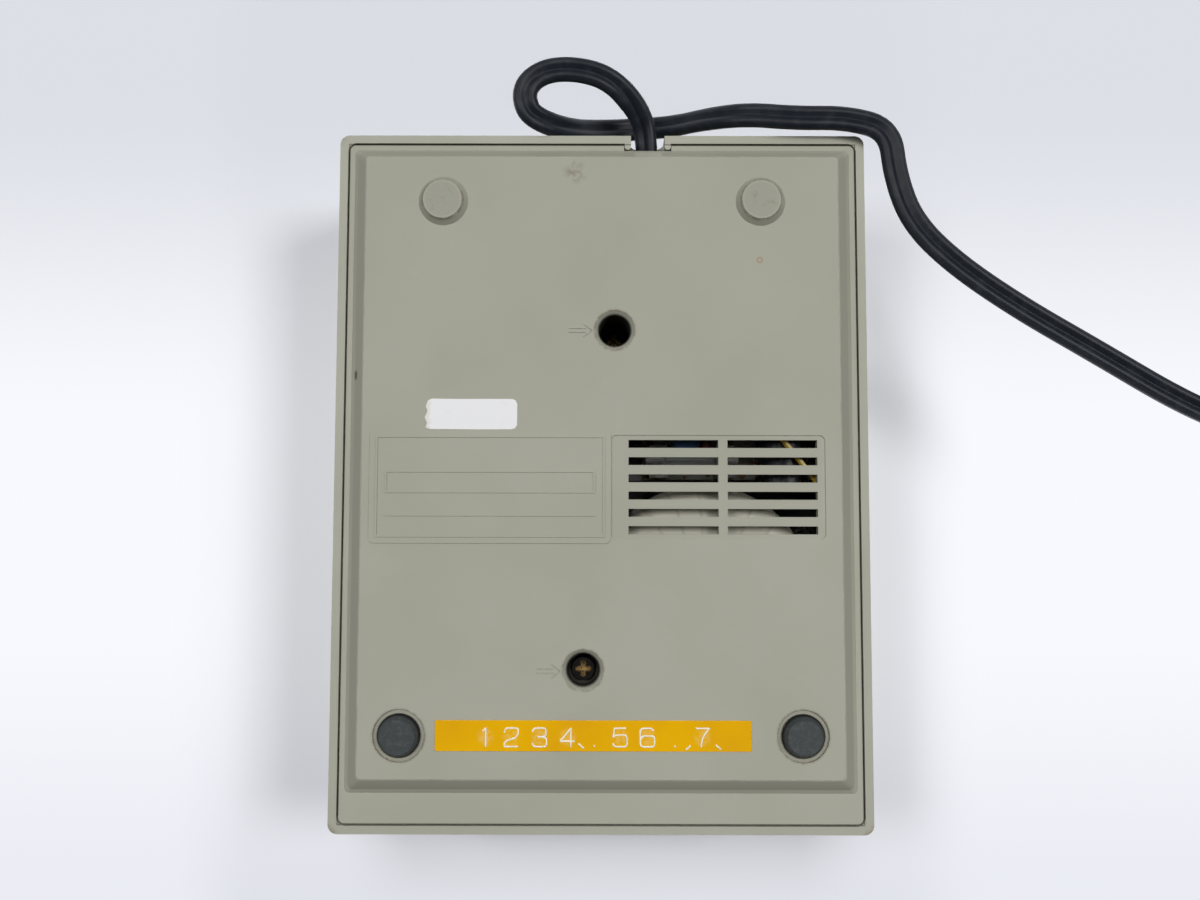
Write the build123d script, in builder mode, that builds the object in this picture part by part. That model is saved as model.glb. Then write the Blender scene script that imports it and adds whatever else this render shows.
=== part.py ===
from build123d import *

import os
from math import cos, dist, pi, radians, sin, sqrt, tan

# A cassette winder and eraser for the table. It stands on its feet at z = 0 with its
# front along -Y, and the cord leaves the rear wall at +Y. All sizes are millimetres.

# Top cover
body_width = 112.0
body_length = 146.4
body_height = 50.0
shell_wall = 1.7
shell_top = 2.2
corner_radius = 2.0
inner_corner_radius = 1.8
top_edge_radius = 1.4
rim_height = 4.4
stop_rib_reach = 2.0
stop_rib_thickness = 1.5
stop_rib_top = 26.0
side_stop_ribs = (-50.0, -18.0, 20.0, 48.0)
end_stop_ribs = (-38.0, 14.0, 38.0)

# Bottom cover, a pan whose plateau stands proud of its rim
cover_gap = 0.35
cover_thickness = 2.0
ledge_height = 4.6
plateau_height = 1.6
ledge_front = 6.25
ledge_rear = 1.15
ledge_side = 1.15
bevel_front = 3.5
bevel_rear = 2.5
bevel_side = 3.2
plateau_corner_radius = 1.0
lip_inset = 0.5
lip_thickness = 1.3
lip_height = 2.5
rib_thickness = 1.2
rib_height = 1.8
floor_ribs = (24.0, 48.0, -47.5)

# Feet and pads that the box stands on
foot_side_inset = 8.45
foot_front_inset = 8.7
foot_radius = 4.45
foot_face_radius = 3.45
foot_groove_radius = 5.35
foot_groove_depth = 0.5
foot_stem_radius = 2.0
foot_barb_radius = 2.7
pad_side_inset = 16.25
pad_rear_inset = 9.5
pad_radius = 5.2
pad_face_radius = 4.05

# Screws that hold the bottom cover
front_screw = (3.69, -39.46)
rear_screw = (-2.71, 30.65)
well_radius = 3.3
well_mouth = 0.95
well_wall = 1.4
well_seat = 2.0
front_well_depth = 4.2
rear_post_length = 12.0
screw_radius = 1.5
screw_head_radius = 2.75
screw_head_height = 2.1
screw_length = 12.0
boss_radius = 4.0
small_screw_radius = 1.1
small_head_radius = 2.7
small_head_height = 1.8
tiny_head_radius = 2.0
tiny_head_height = 1.4
screw_bite = 5.0
chassis_screw_bite = 4.0

# Vent and the framed blank plate beside it
vent_panel_y = -2.05
vent_panel_length = 21.45
vent_panel_depth = 0.25
vent_panel_side = 3.3
vent_panel_inner_x = -1.9
slot_outer_margin = 1.6
slot_inner_margin = 3.7
slot_web = 1.9
slot_width = 1.65
slot_pitch = 3.565
slot_rows = 6
slot_columns = 2
panel_corner_radius = 1.2
plate_y = -1.95
plate_length = 23.5
plate_side = 1.65
plate_inner_x = -1.95
plate_rise = 0.25
frame_inset = 1.25
frame_line = 0.45
frame_rise = 0.2
title_box_y = -1.0
title_box_inset = 3.2
title_box_length = 4.7
rule_y = -7.9

# Cassette and the well that holds it
cassette_length = 63.8
cassette_clearance = 1.0
tape_height = 4.35
well_depth = 16.0
well_rear_margin = 10.3
well_corner_radius = 1.0
deck_side_gap = 1.5
deck_wall = 1.6
deck_thickness = 2.0
seat_size = 7.0
seat_rise = 2.0
front_seat_offset = 12.0
locating_pin_x = 30.6
locating_pin_inset = 7.0
locating_pin_radius = 1.9
locating_pin_height = 4.5
post_radius = 3.0
shelf_width = 30.0
shelf_length = 22.4
front_ear_inset = 5.8
front_ear_reach = 8.4
front_ear_width = 10.0
front_ear_length = 16.0
rear_ear_inset = 6.8
rear_ear_setback = 4.1
rear_ear_width = 7.0
rear_ear_boss = 8.0
rear_tab_gap = 1.0

# Lid
lid_overlap = 3.4
lid_corner_radius = 1.5
lid_thickness = 2.8
lid_gap = 0.4
lid_rest_gap = 0.1
lid_grip_width = 30.0
lid_grip_length = 3.0
lid_grip_rise = 1.2
hinge_setback = 4.7
hinge_radius = 3.2
hinge_pad_wall = 1.9
hinge_pad_front = 3.7
hinge_pin_radius = 1.0
hinge_clearance = 0.05
hinge_pin_bite = 1.4
window_side = 8.0
window_front = 9.5
window_rear = 11.3
window_corner_radius = 3.0
window_thickness = 1.6
window_sink = 0.2
window_rebate = 1.2

# Reel drive
hub_pitch = 42.5
hub_inset = 34.8
spindle_hole_radius = 6.0
spindle_neck_radius = 5.2
spindle_core_radius = 2.9
spindle_fin_radius = 4.6
spindle_fin_thickness = 1.4
spindle_fins = 6
spindle_height = 9.4
spindle_tip_radius = 1.6
spindle_tip_height = 2.4
spindle_shaft_radius = 1.0
running_clearance = 0.04
washer_radius = 2.6
washer_thickness = 0.8
chassis_post_length = 5.3
chassis_thickness = 1.2
chassis_flange = 4.0
chassis_side_gap = 2.8
chassis_front_setback = 4.6
chassis_rear_setback = 0.2
chassis_post_inset = 4.0
chassis_corner_radius = 3.0
chassis_flange_end = 6.0
chassis_slot_length = 24.0
chassis_slot_width = 7.0
chassis_slot_inset = (12.0, 9.0)
takeup_pulley_radius = 15.2
takeup_groove_radius = 13.4
pulley_thickness = 3.8
lightening_holes = 5
lightening_radius = 2.4
supply_disc_radius = 12.0
supply_disc_thickness = 2.0
belt_width = 1.3
belt_thickness = 1.1
belt_clearance = 0.05

# Motor
motor_x = 27.0
motor_reach = 34.2
motor_radius = 16.0
motor_floor_gap = 2.9
motor_edge_radius = 1.5
motor_pilot_radius = 4.0
motor_pilot_height = 1.4
motor_pulley_radius = 4.4
motor_groove_radius = 2.9
motor_shaft_radius = 1.0
motor_shaft_sunk = 5.0
motor_screw_pitch = 16.0
motor_screw_bite = 2.5
motor_lobe = 3.0

# Mains transformer, a taped ring core lying flat
transformer_x = -21.8
transformer_y = -25.0
transformer_radius = 23.6
transformer_bore = 8.0
transformer_head_room = 5.6
transformer_seat = 5.4
transformer_seat_rim = 4.0
transformer_post_gap = 3.0
transformer_edge_radius = 5.0
transformer_post_radius = 6.0
transformer_bolt_radius = 2.0
transformer_bolt_length = 12.0
transformer_bolt_head = 3.6
transformer_plate_radius = 14.0
transformer_plate_thickness = 1.0

# Circuit board and what hangs under it
board_thickness = 1.6
board_height = 17.0
board_side_margin = 5.3
board_well_gap = 1.6
board_front = 0.0
board_length = 50.0
board_post_inset = 6.0
board_screw_gap = 1.9
spacer_radius = 2.8
reservoir_radius = 5.7
reservoir_length = 22.0
reservoir_inset = 10.0
reservoir_edge = 0.8
reservoir_y = 9.0
fuse_radius = 2.6
fuse_length = 20.0
fuse_x = -19.5
fuse_y = 3.7
fuse_drop = 4.6
fuse_clip_length = 4.0
fuse_clip_width = 7.2
fuse_clip_reach = 1.6
fuse_clip_sheet = 0.8
film_width = 5.5
film_depth = 4.5
film_height = 8.0
film_corner = 1.2
film_capacitor_at = (-18.3, 8.8)
resistor_radius = 1.2
resistor_length = 6.4
resistor_drop = 2.0
resistors_at = [(-23.0, 10.0), (-27.6, 11.2), (-24.5, 18.6)]
diode_radius = 1.35
diode_length = 5.2
diode_drop = 1.7
diodes_at = [(-23.4, 26.0), (-23.4, 30.2), (-23.4, 34.4), (-23.4, 38.6)]
lead_radius = 0.6

# Keys
key_width = 26.0
key_gap = 2.0
key_rise = 1.5
key_front_margin = 5.5
key_length = 21.5
key_depth = 8.0
key_wall = 1.6
key_clearance = 0.6
key_lean = 1.0
key_dish = 1.0
key_shaft_reach = 13.5
key_shaft_drop = 10.0
key_shaft_radius = 1.5
key_eye_radius = 3.5
key_arm_width = 8.0
key_arm_x = 16.0
key_arm_root = 3.3
key_corner = 0.8
key_peg = 2.0
bracket_sheet = 1.2
bracket_drop = 23.0
bracket_width = 75.0
bracket_setback = 2.5
bracket_heel = 4.5
bracket_post_x = 33.0
bracket_post_setback = 6.5
spring_radius = 3.3
spring_wire = 0.8
spring_setback = 9.0
spring_clearance = 0.1
switch_reach = 4.5
switch_width = 7.0
switch_length = 8.0
switch_height = 4.0
leaf_width = 5.0
leaf_thickness = 0.4
leaf_spread = 2.4
leaf_tall = 7.6
leaf_short = 4.2
leaf_tongue = 3.6

# Erase magnet
magnet_width = 22.0
magnet_length = 18.0
magnet_stack = 6.5
magnet_limb = 5.0
magnet_gap = 1.0
magnet_air = 0.8
magnet_clearance = 0.4
magnet_pole = 3.4
magnet_taper = 3.0
magnet_screw_bite = 3.4
magnet_screw_setback = 9.0
winding_wall = 2.8
winding_width = 11.4
winding_corner = 1.2

# Pilot light
pilot_x = 42.5
pilot_setback = 11.0
pilot_radius = 2.6
pilot_collar = 1.2
pilot_length = 8.0
pilot_lens_depth = 2.0
pilot_dome = 1.2

# Cord, its clamp, coil and plug
cord_diameter = 5.2
cord_sides = 6
cord_exit_x = -9.8
cord_exit_z = 9.4
cord_slot_width = 7.2
cord_slot_top = 13.4
cord_lip_thickness = 1.35
cord_lip_depth = 3.0
notch_depth = 1.25
notch_margin = 0.1
clamp_setback = 5.1
clamp_screw_bite = 2.2
clamp_length = 6.4
clamp_width = 17.0
clamp_bottom = 7.0
clamp_top = 15.0
clamp_post_pitch = 11.4
clamp_post_radius = 2.4
clamp_corner = 0.8
coil_pitch = 5.7
coil_inner_radius = 19.2
coil_turns = 3.25
coil_x = -182.0
coil_y = 30.3
coil_start_angle = -60.0
tail_radius = 26.0
tail_turn = 100.0
tail_steps = 3
tie_thickness = 0.6
tie_gap = 0.2
tie_width = 6.0
tie_corner = 2.6
tie_slack = 1.2
plug_length = 30.0
plug_width = 24.0
plug_thickness = 13.0
plug_neck_radius = 3.4
plug_shoulder = 12.0
plug_corner = 3.0
plug_clearance = 0.3
cord_lead_in = 15.0
blade_spacing = 12.7
blade_width = 6.3
blade_thickness = 1.5
blade_length = 17.0
blade_hole_radius = 1.5

os.makedirs("parts", exist_ok=True)

# Sizes that follow from the ones above
inner_half_width = body_width / 2 - shell_wall
inner_half_length = body_length / 2 - shell_wall
cover_half_width = inner_half_width - cover_gap
cover_half_length = inner_half_length - cover_gap
ledge_inside = ledge_height + cover_thickness
lip_top = ledge_inside + lip_height
floor_inside = plateau_height + cover_thickness
roof_inside = body_height - shell_top
face_half_width = cover_half_width - ledge_side - bevel_side
face_front = ledge_front + bevel_front - cover_half_length
face_rear = cover_half_length - ledge_rear - bevel_rear
foot_x = face_half_width - foot_side_inset
foot_y = face_front + foot_front_inset
pad_x = face_half_width - pad_side_inset
pad_y = face_rear - pad_rear_inset
deck_floor = body_height - well_depth
deck_underside = deck_floor - deck_thickness
deck_half_width = inner_half_width - deck_side_gap
well_half_width = deck_half_width - deck_wall
well_rear = inner_half_length - well_rear_margin
cassette_front = well_rear - cassette_clearance - cassette_length
cassette_height = deck_floor + seat_rise
well_front = cassette_front - cassette_clearance
front_ear_x = deck_half_width - front_ear_inset
front_ear_y = well_front - front_ear_reach
rear_ear_x = deck_half_width - rear_ear_inset
rear_ear_y = inner_half_length - rear_ear_setback
hub_x = hub_pitch / 2
hub_y = cassette_front + hub_inset
lid_half_width = inner_half_width - hinge_pad_wall - lid_gap
lid_front = well_front - lid_overlap
lid_underside = body_height - lid_thickness
deck_wall_top = lid_underside - lid_rest_gap
hinge_y = inner_half_length - hinge_setback
hinge_z = body_height - hinge_radius
lid_opening_rear = hinge_y + hinge_radius + 1.5 * lid_gap
window_width = 2 * (lid_half_width - window_side)
chassis_top = deck_underside - chassis_post_length
chassis_underside = chassis_top - chassis_thickness
chassis_half_width = deck_half_width - chassis_side_gap
chassis_front = well_front + chassis_front_setback
chassis_rear = well_rear - chassis_rear_setback
front_boss_end = plateau_height + front_well_depth + well_seat
rear_boss_end = deck_underside - rear_post_length
rear_well_depth = rear_boss_end - well_seat - plateau_height
spindle_base = chassis_top + washer_thickness
belt_height = spindle_base + pulley_thickness / 2
motor_y = hub_y - motor_reach
motor_height = chassis_underside - motor_floor_gap - floor_inside
board_top = board_height + board_thickness
board_left = board_side_margin - inner_half_width
board_right = rear_screw[0] - well_radius - well_wall - board_well_gap
bracket_base = body_height - bracket_drop
bracket_top = bracket_base + bracket_sheet
transformer_height = bracket_base - transformer_head_room - transformer_seat
tape_z = cassette_height + tape_height
key_front = key_front_margin - inner_half_length
key_rear = key_front + key_length
key_shaft_y = key_rear + key_shaft_reach
key_shaft_z = body_height - key_shaft_drop
bracket_front = key_front + bracket_setback
bracket_rear = key_shaft_y + bracket_heel
bracket_post_y = key_front + bracket_post_setback
spring_y = key_front + spring_setback
switch_y = key_rear + switch_reach
pilot_y = key_front + pilot_setback
clamp_face = inner_half_length - clamp_setback
cord_radius = cord_diameter / 2

chassis_post_x = chassis_half_width - chassis_post_inset
chassis_posts_y = (chassis_front + chassis_post_inset, chassis_rear - chassis_post_inset)
magnet_screw_x = (magnet_width - magnet_limb) / 2
magnet_screw_y = cassette_front - magnet_air - magnet_screw_setback

deck_screws_at = [(front_ear_x, front_ear_y), (-front_ear_x, front_ear_y),
                  (rear_ear_x, rear_ear_y), (-rear_ear_x, rear_ear_y)]
chassis_posts_at = [(side * chassis_post_x, y) for y in chassis_posts_y for side in (1, -1)]
board_posts_at = [(board_left + board_post_inset, 24.0), (-14.0, 15.0), (-29.0, 45.0)]
bracket_posts_at = [(bracket_post_x, bracket_post_y), (-bracket_post_x, bracket_post_y)]
hubs_at = [(hub_x, hub_y), (-hub_x, hub_y)]
feet_at = [(foot_x, foot_y), (-foot_x, foot_y)]
pads_at = [(pad_x, pad_y), (-pad_x, pad_y)]
magnet_screws_at = [(magnet_screw_x, magnet_screw_y), (-magnet_screw_x, magnet_screw_y)]


def save(piece, name):
    """Label one finished piece and write it to its own file."""
    piece.part.label = name
    export_step(piece.part, f"parts/{name}.step")


def spread(low, high):
    """Length and middle of the stretch between two values."""
    return high - low, (high + low) / 2


def raised(places, z):
    """The same places in plan, at height z."""
    return [(x, y, z) for x, y in places]


def bend_radii(route):
    """A radius for each corner of a route, from its shorter run and its turn."""
    runs = [Vector(*there) - Vector(*here) for here, there in zip(route, route[1:])]
    return [0.45 * min(into.length, out.length) / tan(radians(into.get_angle(out)) / 2)
            for into, out in zip(runs, runs[1:])]


def pan_screws(seats, length, radius, head_radius, head_height, side):
    """Cross-head screws, one at each seat, with the head up (side 1) or down (side -1)."""
    with BuildPart() as screws:
        for place in seats:
            seat = Plane(origin=place, z_dir=(0, 0, side))
            with BuildSketch(seat):
                Circle(head_radius)
            extrude(amount=head_height, taper=12)
            with BuildSketch(seat):
                Circle(radius)
            extrude(amount=-length)
            with BuildSketch(seat.offset(head_height)):
                Rectangle(head_radius * 1.1, head_radius * 0.3)
                Rectangle(head_radius * 0.3, head_radius * 1.1)
            extrude(amount=-head_height * 0.6, mode=Mode.SUBTRACT)
    return screws


# Bottom cover: a ledge at the rim and a bevelled plateau, hollow inside
plateau_width = 2 * (cover_half_width - ledge_side)
plateau_front = -cover_half_length + ledge_front
plateau_rear = cover_half_length - ledge_rear
base_length, base_middle = spread(plateau_front, plateau_rear)
face_length, face_middle = spread(face_front, face_rear)
face_width = 2 * face_half_width
cover_corner_radius = inner_corner_radius - cover_gap
lip_outer = lip_inset
vent_width, vent_panel_x = spread(vent_panel_side - face_half_width, vent_panel_inner_x)
slots_width, slots_middle = spread(vent_panel_side - face_half_width + slot_outer_margin,
                                   vent_panel_inner_x - slot_inner_margin)
slot_length = (slots_width - slot_web) / slot_columns
plate_width, plate_x = spread(plate_inner_x, face_half_width - plate_side)
title_box_width = plate_width - 2 * title_box_inset
post_top = transformer_seat + transformer_height - transformer_post_gap
lip_inner = lip_inset + lip_thickness
notch_width = cord_slot_width + 2 * (cord_lip_thickness + notch_margin)
notch_y = cover_half_length - notch_depth
clamp_y = clamp_face - clamp_length / 2

with BuildPart() as bottom_cover:
    with BuildSketch(Plane.XY.offset(ledge_height)):
        RectangleRounded(2 * cover_half_width, 2 * cover_half_length, cover_corner_radius)
    extrude(amount=cover_thickness)
    with BuildSketch(Plane.XY.offset(ledge_inside)):
        RectangleRounded(2 * (cover_half_width - lip_outer), 2 * (cover_half_length - lip_outer),
                         cover_corner_radius - lip_outer)
        Rectangle(2 * (cover_half_width - lip_inner), 2 * (cover_half_length - lip_inner),
                  mode=Mode.SUBTRACT)
    extrude(amount=lip_height)
    with BuildSketch(Plane.XY.offset(ledge_height)):
        with Locations((0, base_middle)):
            RectangleRounded(plateau_width, base_length, plateau_corner_radius)
    with BuildSketch(Plane.XY.offset(plateau_height)):
        with Locations((0, face_middle)):
            RectangleRounded(face_width, face_length, plateau_corner_radius)
    loft()
    # The inside of the pan follows the bevels, one wall further in
    with BuildSketch(Plane.XY.offset(ledge_inside)):
        with Locations((0, base_middle)):
            RectangleRounded(plateau_width - 2 * cover_thickness, base_length - 2 * cover_thickness,
                             plateau_corner_radius)
    with BuildSketch(Plane.XY.offset(floor_inside)):
        with Locations((0, face_middle)):
            RectangleRounded(face_width - 2 * cover_thickness, face_length - 2 * cover_thickness,
                             plateau_corner_radius)
    loft(mode=Mode.SUBTRACT)
    # Stiffening ribs across the floor
    with BuildSketch(Plane.XY.offset(floor_inside)):
        with Locations(*[(0, y) for y in floor_ribs]):
            Rectangle(face_width - 2 * cover_thickness - 1, rib_thickness)
    extrude(amount=rib_height)
    # Wells for the two cover screws
    with BuildSketch(Plane.XY.offset(plateau_height)):
        with Locations(front_screw):
            Circle(well_radius + well_wall)
    extrude(amount=front_boss_end - plateau_height)
    with BuildSketch(Plane.XY.offset(plateau_height)):
        with Locations(rear_screw):
            Circle(well_radius + well_wall)
    extrude(amount=rear_boss_end - plateau_height)
    # Seat and post of the ring core, and posts for the cord clamp
    with BuildSketch(Plane.XY.offset(floor_inside)):
        with Locations((transformer_x, transformer_y)):
            Circle(transformer_bore + transformer_seat_rim)
    extrude(amount=transformer_seat - floor_inside)
    with BuildSketch(Plane.XY.offset(transformer_seat)):
        with Locations((transformer_x, transformer_y)):
            Circle(transformer_post_radius)
    extrude(amount=post_top - transformer_seat)
    with BuildSketch(Plane.XY.offset(floor_inside)):
        with Locations((cord_exit_x, clamp_y)):
            with GridLocations(clamp_post_pitch, 1, 2, 1):
                Circle(clamp_post_radius)
    extrude(amount=clamp_bottom - floor_inside)
    # Rear pads stand down to the table
    with Locations(*raised(pads_at, plateau_height / 2)):
        Cone(pad_face_radius, pad_radius, plateau_height)
    # The vent's sunk panel and its slots
    with BuildSketch(Plane.XY.offset(plateau_height)):
        with Locations((vent_panel_x, vent_panel_y)):
            RectangleRounded(vent_width, vent_panel_length, panel_corner_radius)
    extrude(amount=vent_panel_depth, mode=Mode.SUBTRACT)
    with BuildSketch(Plane.XY.offset(plateau_height)):
        with Locations((slots_middle, vent_panel_y)):
            with GridLocations(slot_length + slot_web, slot_pitch, slot_columns, slot_rows):
                Rectangle(slot_length, slot_width)
    extrude(amount=cover_thickness, mode=Mode.SUBTRACT)
    # Raised blank plate with its frame lines
    with BuildSketch(Plane.XY.offset(plateau_height)):
        with Locations((plate_x, plate_y)):
            RectangleRounded(plate_width, plate_length, panel_corner_radius)
    extrude(amount=-plate_rise)
    with BuildSketch(Plane.XY.offset(plateau_height - plate_rise)):
        with Locations((plate_x, plate_y)):
            Rectangle(plate_width - 2 * frame_inset, plate_length - 2 * frame_inset)
            Rectangle(plate_width - 2 * (frame_inset + frame_line),
                      plate_length - 2 * (frame_inset + frame_line), mode=Mode.SUBTRACT)
        with Locations((plate_x, title_box_y)):
            Rectangle(title_box_width, title_box_length)
            Rectangle(title_box_width - 2 * frame_line, title_box_length - 2 * frame_line,
                      mode=Mode.SUBTRACT)
        with Locations((plate_x, rule_y)):
            Rectangle(title_box_width, frame_line)
    extrude(amount=-frame_rise)
    # Screw wells, with a chamfered mouth and a hole in the seat
    with Locations(Plane(origin=(*front_screw, plateau_height), z_dir=(0, 0, -1))):
        CounterBoreHole(screw_radius, well_radius, front_well_depth,
                        depth=front_well_depth + well_seat)
    with Locations(Plane(origin=(*rear_screw, plateau_height), z_dir=(0, 0, -1))):
        CounterBoreHole(screw_radius, well_radius, rear_well_depth,
                        depth=rear_well_depth + well_seat)
    with Locations(*raised([front_screw, rear_screw], plateau_height + well_mouth / 2)):
        Cone(well_radius + well_mouth, well_radius, well_mouth, mode=Mode.SUBTRACT)
    # Recess and stem hole of each rubber foot
    with Locations(*[Plane(origin=(x, y, plateau_height), z_dir=(0, 0, -1)) for x, y in feet_at]):
        CounterBoreHole(foot_stem_radius, foot_groove_radius, foot_groove_depth,
                        depth=cover_thickness)
    # Bolt hole in the ring core's post, and screw holes in the clamp posts
    with Locations((transformer_x, transformer_y, post_top)):
        Hole(transformer_bolt_radius, depth=post_top - transformer_seat)
    with Locations(Plane(origin=(cord_exit_x, clamp_y, clamp_bottom))):
        with GridLocations(clamp_post_pitch, 1, 2, 1):
            Hole(small_screw_radius, depth=clamp_screw_bite + 0.3)
    # Notch that lets the cord out past the rear edge
    with BuildSketch(Plane.XY.offset(ledge_height - 0.1)):
        with Locations((cord_exit_x, notch_y)):
            Rectangle(notch_width, 2 * notch_depth, align=(Align.CENTER, Align.MIN))
    extrude(amount=lip_top, mode=Mode.SUBTRACT)
    with BuildSketch(Plane.XY.offset(ledge_inside)):
        with Locations((cord_exit_x, cover_half_length - lip_inner - 0.2)):
            Rectangle(notch_width, 3 * notch_depth, align=(Align.CENTER, Align.MIN))
    extrude(amount=lip_top, mode=Mode.SUBTRACT)
save(bottom_cover, "bottom_cover")

with BuildPart() as rubber_feet:
    for x, y in feet_at:
        with BuildSketch(Plane(origin=(x, y, 0), x_dir=(1, 0, 0), z_dir=(0, -1, 0))):
            with BuildLine():
                Polyline((0, 0), (foot_face_radius, 0), (foot_radius, plateau_height),
                         (foot_radius, plateau_height + foot_groove_depth),
                         (foot_stem_radius, plateau_height + foot_groove_depth),
                         (foot_stem_radius, floor_inside), (foot_barb_radius, floor_inside),
                         (foot_stem_radius, floor_inside + 2.2), (0, floor_inside + 2.2), (0, 0))
            make_face()
        revolve(axis=Axis((x, y, 0), (0, 0, 1)))
save(rubber_feet, "rubber_feet")

cover_screw_seats = [(*front_screw, plateau_height + front_well_depth),
                     (*rear_screw, plateau_height + rear_well_depth)]
cover_screws = pan_screws(cover_screw_seats, screw_length, screw_radius,
                          screw_head_radius, screw_head_height, -1)
save(cover_screws, "cover_screws")

# Top cover: a deep shell with openings for the lid, the keys and the pilot light
with BuildPart() as top_cover:
    with BuildSketch(Plane.XY.offset(rim_height)):
        RectangleRounded(body_width, body_length, corner_radius)
    extrude(amount=body_height - rim_height)
    fillet(top_cover.faces().sort_by(Axis.Z)[-1].edges(), top_edge_radius)
    with BuildSketch(Plane.XY.offset(rim_height)):
        RectangleRounded(2 * inner_half_width, 2 * inner_half_length, inner_corner_radius)
    extrude(amount=roof_inside - rim_height, mode=Mode.SUBTRACT)
    # Short ribs that stop the bottom cover's lip
    with BuildSketch(Plane.XY.offset(lip_top)):
        for side in (-1, 1):
            with Locations(*[(side * (inner_half_width - stop_rib_reach / 2), y)
                             for y in side_stop_ribs]):
                Rectangle(stop_rib_reach + 0.2, stop_rib_thickness)
            with Locations(*[(x, side * (inner_half_length - stop_rib_reach / 2))
                             for x in end_stop_ribs]):
                Rectangle(stop_rib_thickness, stop_rib_reach + 0.2)
    extrude(amount=stop_rib_top - lip_top)
    # Pads that hold the ends of the hinge pin
    pad_width, pad_middle = spread(lid_half_width + lid_gap, inner_half_width + 0.2)
    pad_length, pad_centre = spread(hinge_y - hinge_pad_front, inner_half_length + 0.2)
    with BuildSketch(Plane.XY.offset(hinge_z - hinge_radius)):
        with Locations((pad_middle, pad_centre), (-pad_middle, pad_centre)):
            Rectangle(pad_width, pad_length)
    extrude(amount=roof_inside + 0.5 - hinge_z + hinge_radius)
    # Bosses under the roof: cover screw, deck screws, key bracket, pilot light
    with BuildSketch(Plane.XY.offset(front_boss_end)):
        with Locations(front_screw):
            Circle(boss_radius)
    extrude(amount=roof_inside + 0.5 - front_boss_end)
    with BuildSketch(Plane.XY.offset(deck_floor)):
        with Locations(*deck_screws_at[:2]):
            Circle(post_radius)
    extrude(amount=roof_inside + 0.5 - deck_floor)
    with BuildSketch(Plane.XY.offset(deck_floor)):
        with Locations(*deck_screws_at[2:]):
            Circle(post_radius)
            Rectangle(2 * post_radius, inner_half_length + 0.3 - deck_screws_at[2][1],
                      align=(Align.CENTER, Align.MIN))
    extrude(amount=rear_ear_boss)
    with BuildSketch(Plane.XY.offset(bracket_top)):
        with Locations(*bracket_posts_at):
            Circle(post_radius)
    extrude(amount=roof_inside + 0.5 - bracket_top)
    with BuildSketch(Plane.XY.offset(roof_inside - pilot_length)):
        with Locations((pilot_x, pilot_y)):
            Circle(pilot_radius + pilot_collar)
    extrude(amount=pilot_length + 0.5)
    # Openings in the roof
    opening_length, opening_middle = spread(lid_front - lid_gap, lid_opening_rear)
    with BuildSketch(Plane.XY.offset(roof_inside)):
        with Locations((0, opening_middle)):
            Rectangle(2 * (lid_half_width + lid_gap), opening_length)
        with Locations((0, (key_front + key_rear) / 2)):
            Rectangle(2 * key_width + key_gap + 2 * key_clearance,
                      key_rear - key_front + 2 * key_clearance)
    extrude(amount=shell_top, mode=Mode.SUBTRACT)
    with Locations((pilot_x, pilot_y, body_height)):
        Hole(pilot_radius, depth=shell_top + pilot_length)
    # Screw holes
    with Locations(Plane(origin=(*front_screw, front_boss_end), z_dir=(0, 0, -1))):
        Hole(screw_radius, depth=screw_length)
    with Locations(*[Plane(origin=(x, y, deck_floor), z_dir=(0, 0, -1)) for x, y in deck_screws_at]):
        Hole(small_screw_radius, depth=screw_bite + 1)
    with Locations(*[Plane(origin=(x, y, bracket_top), z_dir=(0, 0, -1)) for x, y in bracket_posts_at]):
        Hole(small_screw_radius, depth=screw_bite + 1)
    with BuildSketch(Plane.YZ):
        with Locations((hinge_y, hinge_z)):
            Circle(hinge_pin_radius)
    extrude(amount=lid_half_width + lid_gap + hinge_pin_bite, both=True, mode=Mode.SUBTRACT)
    # Cord slot in the rear wall, with its two curled lips
    slot_height = cord_slot_top - rim_height
    with BuildSketch(Plane.XZ.offset(-body_length / 2)):
        with Locations((cord_exit_x, rim_height)):
            Rectangle(cord_slot_width, slot_height - cord_slot_width / 2, align=(Align.CENTER, Align.MIN))
        with Locations((cord_exit_x, cord_slot_top - cord_slot_width / 2)):
            Circle(cord_slot_width / 2)
    extrude(amount=shell_wall + 0.2, mode=Mode.SUBTRACT)
    lip_centre = (cord_slot_width + cord_lip_thickness) / 2
    with BuildSketch(Plane.XY.offset(rim_height)):
        for side in (-1, 1):
            with Locations((cord_exit_x + side * lip_centre, body_length / 2)):
                RectangleRounded(cord_lip_thickness, 2 * cord_lip_depth, cord_lip_thickness / 2 - 0.05)
        with Locations((cord_exit_x, body_length / 2)):
            Rectangle(4 * cord_slot_width, 2 * shell_wall, align=(Align.CENTER, Align.MIN),
                      mode=Mode.SUBTRACT)
    extrude(amount=slot_height)
save(top_cover, "top_cover")

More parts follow.
